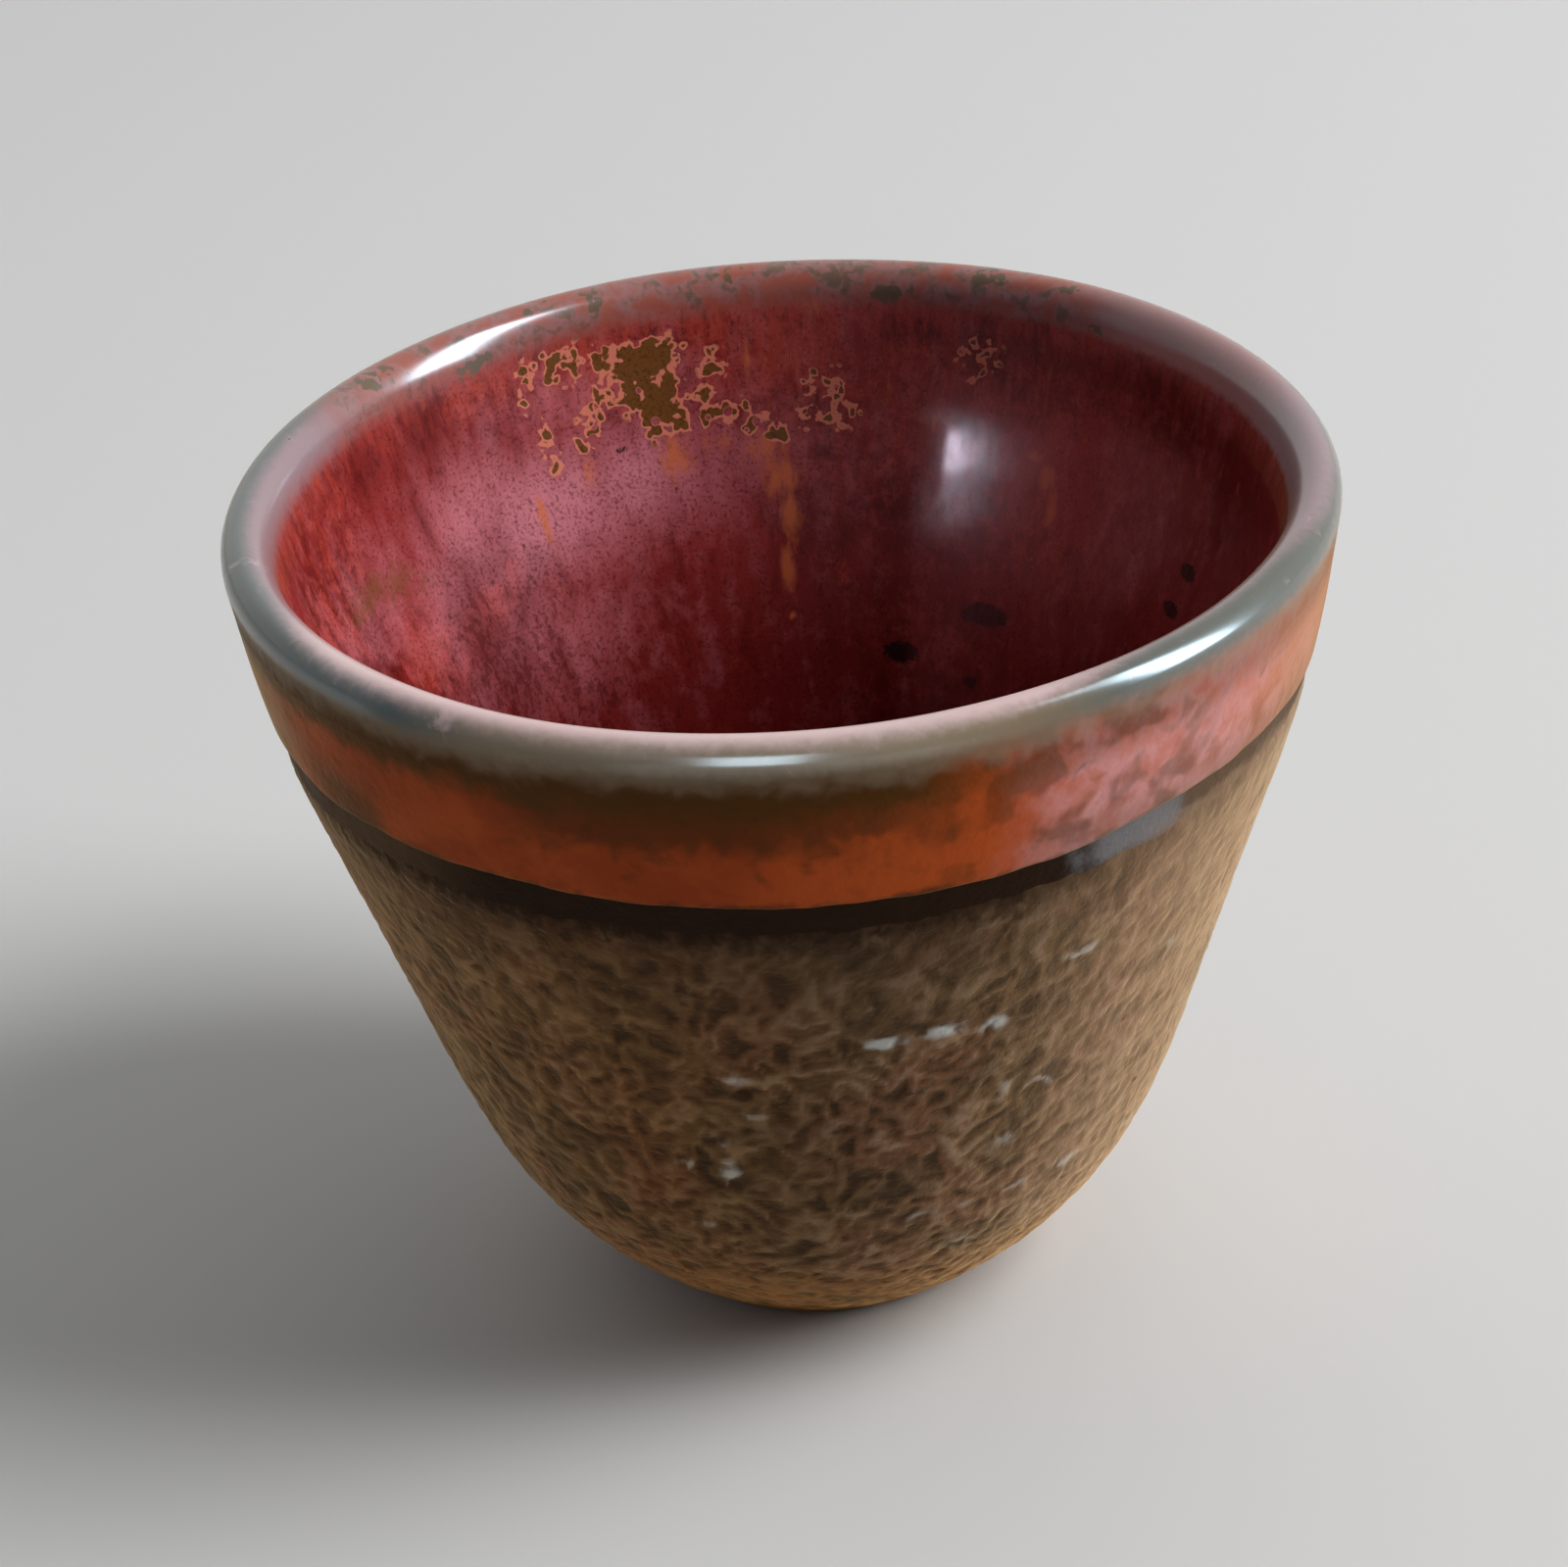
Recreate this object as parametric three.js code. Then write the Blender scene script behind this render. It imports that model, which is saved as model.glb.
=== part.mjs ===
// A hand-thrown stoneware tea bowl: one fired clay body, and the glaze and slip coats fused on it.
// Millimetres, +Z up. The origin is the middle of the flat base, on the table.
// Heights with "Drop" in their name are measured down from the top of the rim.

import * as THREE from 'three';

// Overall form, on the finished surface
const rimRadius = 52.5;
const bowlHeight = 86;
const lipThickness = 4.6;
const baseRadius = 20;
const baseEdge = 0.8;

// Stations of the outside, from the base to the rim
const heelRadius = 29.8;
const heelHeight = 10;
const hipRadius = 34.7;
const hipHeight = 18.5;
const bellyRadius = 38.9;
const bellyHeight = 30;
const flankRadius = 42.8;
const flankDrop = 42.5;
const waistRadius = 47;
const waistDrop = 29;
const shoulderRadius = 50.6;
const shoulderDrop = 15.5;

// Wall of the finished bowl, measured level with the stations of the outside
const shoulderWall = 5.8;
const waistWall = 7.7;
const flankWall = 8.2;
const bellyWall = 8.9;
const floorThickness = 8;
const wellHeelRadius = 20.5;
const wellHeelHeight = 14.5;

// Coats on the clay
const coatThickness = 0.8;
const coatGap = 0.1;
const ironLineRecess = 0.3;
const rollDepth = 0.35;
const rollWidth = 0.7;

// Where each coat starts and ends
const slipBottomHeight = 5;
const ironLineBottomDrop = 20.5;
const bandBottomDrop = 16;
const bandTopDrop = 5.5;
const rimInsideDrop = 7;

// Facets
const segments = 60;
const lipSteps = 6;
const slipSteps = 8;
const bandSteps = 2;
const wellSteps = 10;

const lipHalf = lipThickness / 2;
const lipHeight = bowlHeight - lipHalf;
const lipCentreRadius = rimRadius - lipHalf;
const lipRootHeight = lipHeight - lipHalf / 2;
const clayDepth = coatThickness + coatGap;
const halfGap = coatGap / 2;

const curveThrough = (stations) =>
  new THREE.CatmullRomCurve3(
    stations.map(([radius, height]) => new THREE.Vector3(radius, height, 0)),
    false,
    'centripetal',
  );

const outside = {
  curve: curveThrough([
    [baseRadius, 0],
    [heelRadius, heelHeight],
    [hipRadius, hipHeight],
    [bellyRadius, bellyHeight],
    [flankRadius, bowlHeight - flankDrop],
    [waistRadius, bowlHeight - waistDrop],
    [shoulderRadius, bowlHeight - shoulderDrop],
    [rimRadius, lipHeight],
  ]),
  start: 0,
  inwards: -1,
};

// The first station mirrors the heel of the well, so that the floor is level where it meets the axis.
const wellStations = [
  [-wellHeelRadius, wellHeelHeight],
  [0, floorThickness],
  [wellHeelRadius, wellHeelHeight],
  [bellyRadius - bellyWall, bellyHeight],
  [flankRadius - flankWall, bowlHeight - flankDrop],
  [waistRadius - waistWall, bowlHeight - waistDrop],
  [shoulderRadius - shoulderWall, bowlHeight - shoulderDrop],
  [rimRadius - lipThickness, lipHeight],
];
const well = {
  curve: curveThrough(wellStations),
  start: 1 / (wellStations.length - 1),
  inwards: 1,
};

// The place on a rising side of the bowl where it reaches a height, found by halving.
function placeAtHeight(side, height) {
  let low = side.start;
  let high = 1;
  for (let i = 0; i < 40; i += 1) {
    const middle = (low + high) / 2;
    if (side.curve.getPoint(middle).y < height) low = middle;
    else high = middle;
  }
  return (low + high) / 2;
}

// A point [radius, height] of a side, moved into the wall by a depth.
function pointAtPlace(side, place, depth) {
  const point = side.curve.getPoint(place);
  const along = side.curve.getTangent(place);
  const shift = side.inwards * depth;
  return new THREE.Vector2(point.x + along.y * shift, point.y - along.x * shift);
}

const outsidePoint = (height, depth) => pointAtPlace(outside, placeAtHeight(outside, height), depth);
const wellPoint = (height, depth) => pointAtPlace(well, placeAtHeight(well, height), depth);

// A point of the rounded lip, from 0 degrees on its outer side to 180 on its inner side.
function lipPoint(degrees, depth) {
  const angle = THREE.MathUtils.degToRad(degrees);
  const reach = lipHalf - depth;
  return new THREE.Vector2(
    lipCentreRadius + reach * Math.cos(angle),
    lipHeight + reach * Math.sin(angle),
  );
}

// Evenly spaced values from start to end, both included.
const spread = (start, end, steps) =>
  Array.from({ length: steps + 1 }, (_, i) => start + ((end - start) * i) / steps);

// Heights at which each coat outside is faceted. The clay under it uses the same ones, so facets nest.
const zoneHeights = (bottom, top, steps) => {
  const start = bottom + halfGap;
  const end = top - halfGap;
  return [start, ...spread(start + rollWidth, end - rollWidth, steps), end];
};

const slipZone = zoneHeights(slipBottomHeight, bowlHeight - ironLineBottomDrop, slipSteps);
const ironLineZone = zoneHeights(bowlHeight - ironLineBottomDrop, bowlHeight - bandBottomDrop, 1);
const bandZone = zoneHeights(bowlHeight - bandBottomDrop, bowlHeight - bandTopDrop, bandSteps);
const rimOuterZone = [bowlHeight - bandTopDrop + halfGap, lipRootHeight];
const rimInnerZone = [lipRootHeight, bowlHeight - rimInsideDrop + halfGap];
const lipDegrees = spread(0, 180, lipSteps);

// Places along the well's liner, from the middle of the floor to the rim glaze.
const linerEnd = placeAtHeight(well, bowlHeight - rimInsideDrop - halfGap);
const linerPlaces = spread(well.start, linerEnd, wellSteps);
const linerPoint = (place, depth) => {
  const point = pointAtPlace(well, place, depth);
  return place === well.start ? new THREE.Vector2(0, point.y) : point;
};

// The outline of a coat outside: its front, with rounded ends, and its back against the clay.
function coatOutline(heights, recess) {
  const last = heights.length - 1;
  const front = heights.map((height, i) =>
    outsidePoint(height, i === 0 || i === last ? recess + rollDepth : recess),
  );
  const back = heights.map((height) => outsidePoint(height, coatThickness)).reverse();
  return [...front, ...back, front[0]];
}

// One side of the lip, from the top of the band outside to the liner in the well.
const overTheLip = (depth) => [
  ...rimOuterZone.map((height) => outsidePoint(height, depth)),
  ...lipDegrees.map((degrees) => lipPoint(degrees, depth)),
  ...rimInnerZone.map((height) => wellPoint(height, depth)),
];

function rimOutline() {
  const front = overTheLip(0);
  return [...front, ...overTheLip(coatThickness).reverse(), front[0]];
}

function linerOutline() {
  const back = linerPlaces.map((place) => linerPoint(place, coatThickness));
  const front = linerPlaces.map((place) => linerPoint(place, 0)).reverse();
  return [...back, ...front];
}

// The clay stands at the finished surface where it is bare, and lies deeper where a coat covers it.
function clayOutline() {
  const bareTop = slipBottomHeight - halfGap;
  const bareFoot = [
    new THREE.Vector2(0, 0),
    new THREE.Vector2(baseRadius - baseEdge / 2, 0),
    outsidePoint(baseEdge, 0),
    outsidePoint(bareTop, 0),
    outsidePoint(bareTop, clayDepth),
  ];
  const underCoats = [...slipZone, ...ironLineZone, ...bandZone].map((height) =>
    outsidePoint(height, clayDepth),
  );
  const underLiner = linerPlaces.map((place) => linerPoint(place, clayDepth)).reverse();
  return [...bareFoot, ...underCoats, ...overTheLip(clayDepth), ...underLiner];
}

// Turns an outline of [radius, height] points round the bowl's axis.
function thrown(name, outline, colour, roughness) {
  const geometry = new THREE.LatheGeometry(outline, segments);
  geometry.rotateX(Math.PI / 2);
  const material = new THREE.MeshStandardMaterial({ color: colour, roughness, metalness: 0 });
  const mesh = new THREE.Mesh(geometry, material);
  mesh.name = name;
  return mesh;
}

const bowl = new THREE.Group();
bowl.add(
  thrown('clay_body', clayOutline(), 0x9a5f34, 0.9),
  thrown('textured_slip_coat', coatOutline(slipZone, 0), 0x5f4433, 0.85),
  thrown('iron_line', coatOutline(ironLineZone, ironLineRecess), 0x2a1d17, 0.35),
  thrown('outer_glaze_band', coatOutline(bandZone, 0), 0xa4452a, 0.3),
  thrown('rim_glaze', rimOutline(), 0x7a6a62, 0.2),
  thrown('well_glaze_liner', linerOutline(), 0x6e1f28, 0.25),
);

export default bowl;
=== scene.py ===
import math
from collections import namedtuple

import bpy
import numpy as np
from bpy.props import FloatProperty, FloatVectorProperty, IntProperty, PointerProperty
from mathutils import Matrix, Vector
from mathutils.bvhtree import BVHTree
from numpy.polynomial import Polynomial


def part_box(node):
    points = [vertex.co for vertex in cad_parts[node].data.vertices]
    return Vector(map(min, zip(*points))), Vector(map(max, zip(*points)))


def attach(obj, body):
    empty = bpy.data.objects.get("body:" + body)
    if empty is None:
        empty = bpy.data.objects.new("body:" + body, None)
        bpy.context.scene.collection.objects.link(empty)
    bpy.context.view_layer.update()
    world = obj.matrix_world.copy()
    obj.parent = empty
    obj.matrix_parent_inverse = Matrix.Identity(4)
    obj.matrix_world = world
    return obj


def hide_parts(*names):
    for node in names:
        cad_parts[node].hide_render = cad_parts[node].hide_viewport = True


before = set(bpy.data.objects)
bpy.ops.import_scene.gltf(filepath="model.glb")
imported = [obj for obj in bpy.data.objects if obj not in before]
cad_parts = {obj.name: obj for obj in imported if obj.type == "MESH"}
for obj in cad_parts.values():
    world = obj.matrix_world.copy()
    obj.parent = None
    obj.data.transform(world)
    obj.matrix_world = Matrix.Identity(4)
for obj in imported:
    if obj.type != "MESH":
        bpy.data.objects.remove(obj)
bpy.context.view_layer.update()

bl_info = {
    "name": "Thrown Tea Bowl",
    "version": (1, 0, 0),
    "blender": (4, 5, 0),
    "location": "View3D > Sidebar > Tea Bowl",
    "description": "Dresses a turned stoneware tea bowl in its slip and glazes",
    "category": "Add Mesh",
}

MM = 0.001

# Room between a coat's back and the clay
COAT_GAP = 0.1 * MM

# What the frame gives: the rim, the coats' edges and the walls
RIM_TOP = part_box("rim_glaze")[1].z
RIM_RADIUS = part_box("rim_glaze")[1].x
LINER_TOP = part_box("well_glaze_liner")[1].z
SLIP_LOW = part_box("textured_slip_coat")[0].z
LINE_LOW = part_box("iron_line")[0].z
BAND_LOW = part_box("outer_glaze_band")[0].z
BAND_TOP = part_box("outer_glaze_band")[1].z


# Sizes and colours

def length(name, description, default, most=0.02):
    """A length in metres."""
    return FloatProperty(
        name=name, description=description, default=default, min=0.0, max=most, unit="LENGTH", precision=5
    )


def strength(name, description, default, unit="NONE"):
    """How strong a light is."""
    return FloatProperty(name=name, description=description, default=default, min=0.0, unit=unit)


def colour(name, description, default):
    """A colour as it is written on a screen, kept as Blender's linear values."""
    linear = [c / 12.92 if c <= 0.04045 else ((c + 0.055) / 1.055) ** 2.4 for c in default]
    return FloatVectorProperty(
        name=name, description=description, default=linear, min=0.0, max=1.0, size=3, subtype="COLOR"
    )


class FormSettings(bpy.types.PropertyGroup):
    """How the bowl is turned, for all of its pieces."""

    segments: IntProperty(
        name="Glaze Segments", description="Steps round a glazed piece", default=480, min=32, max=720
    )
    rough_segments: IntProperty(
        name="Rough Segments", description="Steps round the slip and the clay", default=600, min=32, max=720
    )
    wobble: length("Wobble", "How far the wall strays from a true circle", 0.35 * MM, 2 * MM)
    rim_wave: length("Rim Wave", "How far the rim rises and falls", 0.25 * MM, 2 * MM)
    coat: length("Coat", "Thickness of the slip and the glazes", 0.8 * MM, 2 * MM)


class ClaySettings(bpy.types.PropertyGroup):
    """The bare clay of the foot."""

    toasted: colour("Toasted", "Clay where the fire has toasted it", (0.60, 0.385, 0.16))
    pale: colour("Pale", "Clay where it is palest", (0.80, 0.64, 0.44))
    dark: colour("Dark", "Clay in its hollows", (0.36, 0.23, 0.10))


class SlipSettings(bpy.types.PropertyGroup):
    """The rough slip coat."""

    relief: length("Relief", "Height of the wrinkles from hollow to crest", 0.3 * MM, 2 * MM)
    wrinkle: length("Wrinkle", "Width of a wrinkle", 3.4 * MM, 10 * MM)
    seed: IntProperty(name="Seed", description="Another seed gives other wrinkles", default=4, min=0, max=99)
    # Hollow and Crest also carry painted shade in the wrinkles' hollows and painted highlight on their
    # crests
    hollow: colour("Hollow", "Slip in its hollows", (0.22, 0.15, 0.088))
    body: colour("Body", "Slip on its slopes", (0.40, 0.295, 0.19))
    warm: colour("Warm", "Slip where it is redder", (0.43, 0.285, 0.195))
    crest: colour("Crest", "Slip on its crests", (0.59, 0.48, 0.385))
    # Light and Pale are painted light: lighter on the bowl's right, where the key lamp falls, and paler
    # still at its right edge as painted sheen
    light: colour("Light", "Slip on the bowl's right", (0.72, 0.595, 0.49))
    pale: colour("Pale", "Slip where it turns away on the right", (0.82, 0.76, 0.68))
    # Partly ash, partly painted glints on the crests
    ash: colour("Ash", "Pale dashes where ash has settled", (0.78, 0.80, 0.79))


class LineSettings(bpy.types.PropertyGroup):
    """The dark iron line."""

    brown: colour("Brown", "Iron wash", (0.15, 0.08, 0.015))
    # Grey is a painted reflection on the iron wash
    grey: colour("Grey", "Iron wash where it shines grey", (0.48, 0.47, 0.48))


class BandSettings(bpy.types.PropertyGroup):
    """The glaze band outside."""

    wave: length("Edge Wave", "How far the lower edge wanders", 0.6 * MM, 4 * MM)
    rise: length("Edge Rise", "How far the edge climbs on the bowl's right", 1.0 * MM, 8 * MM)
    orange: colour("Orange", "Glaze where it is thick", (0.70, 0.30, 0.11))
    brick: colour("Brick", "Glaze where it is thinner", (0.56, 0.22, 0.07))
    # Salmon is partly the glaze's own pale colour, partly a painted reflection of the key lamp
    salmon: colour("Salmon", "Glaze where it is palest", (0.79, 0.53, 0.52))
    # Painted sheen: a pale tan laid on the band's right edge, where it turns away
    tan: colour("Tan", "Glaze where it has run off", (0.68, 0.48, 0.33))
    brown: colour("Brown", "Glaze where iron shows through", (0.31, 0.16, 0.04))


class LipSettings(bpy.types.PropertyGroup):
    """The glaze over the lip."""

    teal: colour("Teal", "Cool grey on the outer side", (0.38, 0.42, 0.42))
    khaki: colour("Khaki", "Warm grey on the outer side", (0.57, 0.51, 0.43))
    lavender: colour("Lavender", "Glaze that has run thin on top", (0.59, 0.50, 0.525))
    blush: colour("Blush", "Pinker glaze on top at the front", (0.83, 0.72, 0.72))
    brick: colour("Brick", "Red that shows at the back", (0.62, 0.31, 0.235))
    olive: colour("Olive", "Brown green mottles on the red", (0.38, 0.33, 0.25))
    under: colour("Under Lip", "Brown below the lip", (0.31, 0.18, 0.03))


class WellSettings(bpy.types.PropertyGroup):
    """The glaze in the well."""

    wine: colour("Wine", "The main red", (0.54, 0.165, 0.16))
    # Also painted shade on the well's right wall and under the lip
    thick_glaze_and_shade: colour("Deep", "Red where the glaze lies thick", (0.375, 0.075, 0.065))
    brick: colour("Brick", "Brighter red near the rim", (0.66, 0.235, 0.19))
    # Mauve is partly the glaze's own pale bloom, partly a painted reflection of the key lamp
    mauve: colour("Mauve", "Pale bloom on the red", (0.78, 0.465, 0.51))
    olive: colour("Olive", "Patches where the glaze broke", (0.42, 0.27, 0.11))
    salmon: colour("Salmon", "The patches' outlines and the runs", (0.84, 0.49, 0.40))
    run: colour("Run", "Orange runs under the patches", (0.80, 0.42, 0.24))
    dark: colour("Dark", "Dark spots and streaks", (0.09, 0.02, 0.02))


class StageSettings(bpy.types.PropertyGroup):
    """Floor and lamps."""

    floor: colour("Floor", "A plain pale floor", (0.83, 0.83, 0.83))
    key: strength("Key", "Power of the window on the right", 58.0, "POWER")
    front: strength("Front", "Power of the window in front", 9.0, "POWER")
    side: strength("Side", "Power of the window on the left", 16.0, "POWER")
    bright: strength("Bright", "Light of the room behind the bowl", 0.69)
    dim: strength("Dim", "Light of the room in front of it", 0.042)


# The finished surface as one line, read from the frame

# Rays that look for the surface pass the axis this far aside, so that they meet no seam
ASIDE = 0.01 * MM


def surface_of(node):
    """A node's surface, for rays to meet."""
    return BVHTree.FromObject(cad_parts[node], bpy.context.evaluated_depsgraph_get())


def surface_radii(nodes, heights, inside):
    """Radius of the nodes' surface at each height, met from the axis or from outside."""
    trees = [surface_of(node) for node in nodes]
    beyond = 3 * RIM_RADIUS
    found = []
    for height in heights:
        start = Vector((0 if inside else beyond, ASIDE, height))
        towards = Vector((1 if inside else -1, 0, 0))
        hits = [tree.ray_cast(start, towards, beyond)[0] for tree in trees]
        radii = [hit.x for hit in hits if hit is not None]
        found.append(min(radii) if inside else max(radii))
    return np.array(found)


def smoothed(values, reach):
    """A running mean, weighted like a bell, that keeps both end values."""
    bell = np.exp(-0.5 * (np.arange(-3 * reach, 3 * reach + 1) / reach) ** 2)
    pad = 3 * reach
    start = 2 * values[0] - values[pad:0:-1]
    end = 2 * values[-1] - values[-2 : -pad - 2 : -1]
    return np.convolve(np.concatenate([start, values, end]), bell / bell.sum(), "valid")


class Outline:
    """Base, outside, lip and well as one line in (radius, height), measured by its length.

    The lip is two quarters of an oval. In shares of half its thickness, the outer one reaches out
    by lip_bulge and the inner one drops by lip_drop, and it ends where the wall leans by lip_lean.
    """

    step = 0.1 * MM
    lip_bulge = 0.85
    lip_drop = 1.35
    lip_lean = math.radians(13)
    lip_start = math.radians(-8)
    lip_points = 40
    side_points = 400
    rounding = 5
    well_rounding = 35
    well_mirrored = 150
    floor_reach = 20 * MM
    floor_points = 60
    wall_points = 200

    def __init__(self):
        outside, wall = self.read_outside(), self.read_well()
        bulge, rise, drop = self.lip_bulge * self.lip_half, self.lip_half, self.lip_drop * self.lip_half
        top_radius = RIM_RADIUS - bulge
        inner_end = RIM_TOP - drop * (1 - math.sin(self.lip_lean))
        wall = wall[wall[:, 1] < inner_end]
        reach = (top_radius - wall[0, 0]) / math.cos(self.lip_lean)
        outer = np.linspace(self.lip_start, math.pi / 2, self.lip_points)[:-1]
        inner = np.linspace(math.pi / 2, math.pi - self.lip_lean, self.lip_points)
        outer_lip = np.stack([top_radius + bulge * np.cos(outer), RIM_TOP - rise + rise * np.sin(outer)], 1)
        inner_lip = np.stack([top_radius + reach * np.cos(inner), RIM_TOP - drop + drop * np.sin(inner)], 1)
        up = np.linspace(0, outer_lip[0, 1], self.side_points)[:-1]
        side = np.stack([outside(up), up], 1)
        points = np.concatenate([[[0, 0]], side, outer_lip, inner_lip, wall])
        along = np.concatenate([[0], np.cumsum(np.hypot(*np.diff(points, axis=0).T))])
        self.length = along[-1]
        self.s = np.linspace(0, self.length, int(self.length / self.step))
        self.r = smoothed(np.interp(self.s, along, points[:, 0]), self.rounding)
        self.z = smoothed(np.interp(self.s, along, points[:, 1]), self.rounding)
        self.r[[0, -1]] = 0
        self.top = int(np.argmax(self.z))
        tangent = np.stack([np.gradient(self.r), np.gradient(self.z)])
        self.along_r, self.along_z = tangent / np.hypot(*tangent)

    def read_outside(self):
        """Radius of the outside at a height: a smooth curve through the frame's coats."""
        edge = 1.2 * MM
        degree = 9
        zones = (
            ("clay_body", edge, SLIP_LOW - edge, 3),
            ("textured_slip_coat", SLIP_LOW + edge, LINE_LOW - edge, 30),
            ("outer_glaze_band", BAND_LOW + edge, BAND_TOP - edge, 6),
            ("rim_glaze", BAND_TOP + 0.3 * MM, RIM_TOP - 3 * MM, 3),
        )
        levels = [np.linspace(low, high, count) for _, low, high, count in zones]
        radii = [surface_radii([zone[0]], level, False) for zone, level in zip(zones, levels)]
        return Polynomial.fit(np.concatenate(levels), np.concatenate(radii), degree)

    def read_well(self):
        """The well's line from the lip down to its middle, with the frame's facets smoothed away.

        It is continued past the middle while it is smoothed, so that it stays level there.
        """
        liner = surface_of("well_glaze_liner")
        flat = np.linspace(0, self.floor_reach, self.floor_points)
        starts = [Vector((max(x, ASIDE), ASIDE, RIM_TOP)) for x in flat]
        down = [liner.ray_cast(start, Vector((0, 0, -1)))[0].z for start in starts]
        levels = np.linspace(down[-1], RIM_TOP - 2.4 * MM, self.wall_points)[1:]
        radii = surface_radii(["well_glaze_liner", "rim_glaze"], levels, True)
        r, z = np.concatenate([flat, radii]), np.concatenate([down, levels])
        # The third level from the top lies beside this one
        lip_outside = surface_radii(["rim_glaze"], [RIM_TOP - 3 * MM], False)
        self.lip_half = float(lip_outside[0] - radii[-3]) / 2
        along = np.concatenate([[0], np.cumsum(np.hypot(np.diff(r), np.diff(z)))])
        even = np.arange(0, along[-1], self.step)
        r, z = np.interp(even, along, r), np.interp(even, along, z)
        mirrored = self.well_mirrored
        r = smoothed(np.concatenate([-r[mirrored:0:-1], r]), self.well_rounding)
        z = smoothed(np.concatenate([z[mirrored:0:-1], z]), self.well_rounding)
        return np.stack([r, z], 1)[mirrored:][::-1]

    def outside_at(self, height):
        """The length at which the outside reaches a height."""
        rising = slice(self.rounding, self.top)
        return float(np.interp(height, self.z[rising], self.s[rising]))

    def well_at(self, height):
        """The length at which the well comes down to a height."""
        falling = slice(self.top, None)
        return float(np.interp(-height, -self.z[falling], self.s[falling]))

    def place(self, s, depth):
        """Radius, height and direction of the line at lengths s, sunk into the wall by depth."""
        r, z = np.interp(s, self.s, self.r), np.interp(s, self.s, self.z)
        ar, az = np.interp(s, self.s, self.along_r), np.interp(s, self.s, self.along_z)
        return r - az * depth, z + ar * depth, ar, az


outline = Outline()


def steps_between(start, end, step):
    """Evenly spaced lengths from start to end."""
    return np.linspace(start, end, max(2, int(round(abs(end - start) / step)) + 1))


def smoothstep(x, low, high):
    """0 below low, 1 above high, smooth between."""
    t = np.clip((np.asarray(x, float) - low) / (high - low), 0, 1)
    return t * t * (3 - 2 * t)


def rolled(s, start, end, width, depth):
    """How deep a coat's front lies near its two ends, as a quarter of an ellipse."""
    near = np.clip(np.minimum(s - start, end - s) / width, 0, 1)
    return depth * (1 - np.sqrt(1 - (1 - near) ** 2))


def store(mesh, title, values):
    """Stores a number on each point of a mesh."""
    layer = mesh.attributes.new(title, "FLOAT", "POINT")
    layer.data.foreach_set("value", np.asarray(values, np.float32))


def outline_object(name, s, depth, cover, pull, across):
    """The outline of one piece as a line of points with what the wheel tree reads from them."""
    r, z, along_r, along_z = outline.place(s, depth)
    mesh = bpy.data.meshes.new(name)
    mesh.vertices.add(len(s))
    mesh.vertices.foreach_set("co", np.stack([np.maximum(r, 0), 0 * r, z], 1).astype(np.float32).ravel())
    store(mesh, "cover", cover)
    store(mesh, "pull", pull)
    store(mesh, "across", across)
    store(mesh, "along_r", along_r)
    store(mesh, "along_z", along_z)
    made = bpy.data.objects.new(name, mesh)
    bpy.context.scene.collection.objects.link(made)
    return made


def coat_outline(name, start, end, step, front_depth, back_depth, cover=None, pull=None):
    """A closed outline: the front from start to end, and the back against the clay."""
    front = steps_between(start, end, step)
    back = steps_between(end, start, 6 * step)
    s = np.concatenate([front, back, front[:1]])
    depth = np.concatenate([front_depth(front), np.full(len(back), back_depth), front_depth(front)[:1]])
    on_front = np.concatenate([np.ones(len(front)), np.zeros(len(back)), [1]])
    covered = (cover(s) if cover else 0 * s) * on_front
    pulled = pull(s) if pull else 0 * s
    return outline_object(name, s, depth, covered, pulled, (s - start) / (end - start))


# Node trees

NUMBER, VECTOR = "NodeSocketFloat", "NodeSocketVector"


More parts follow.
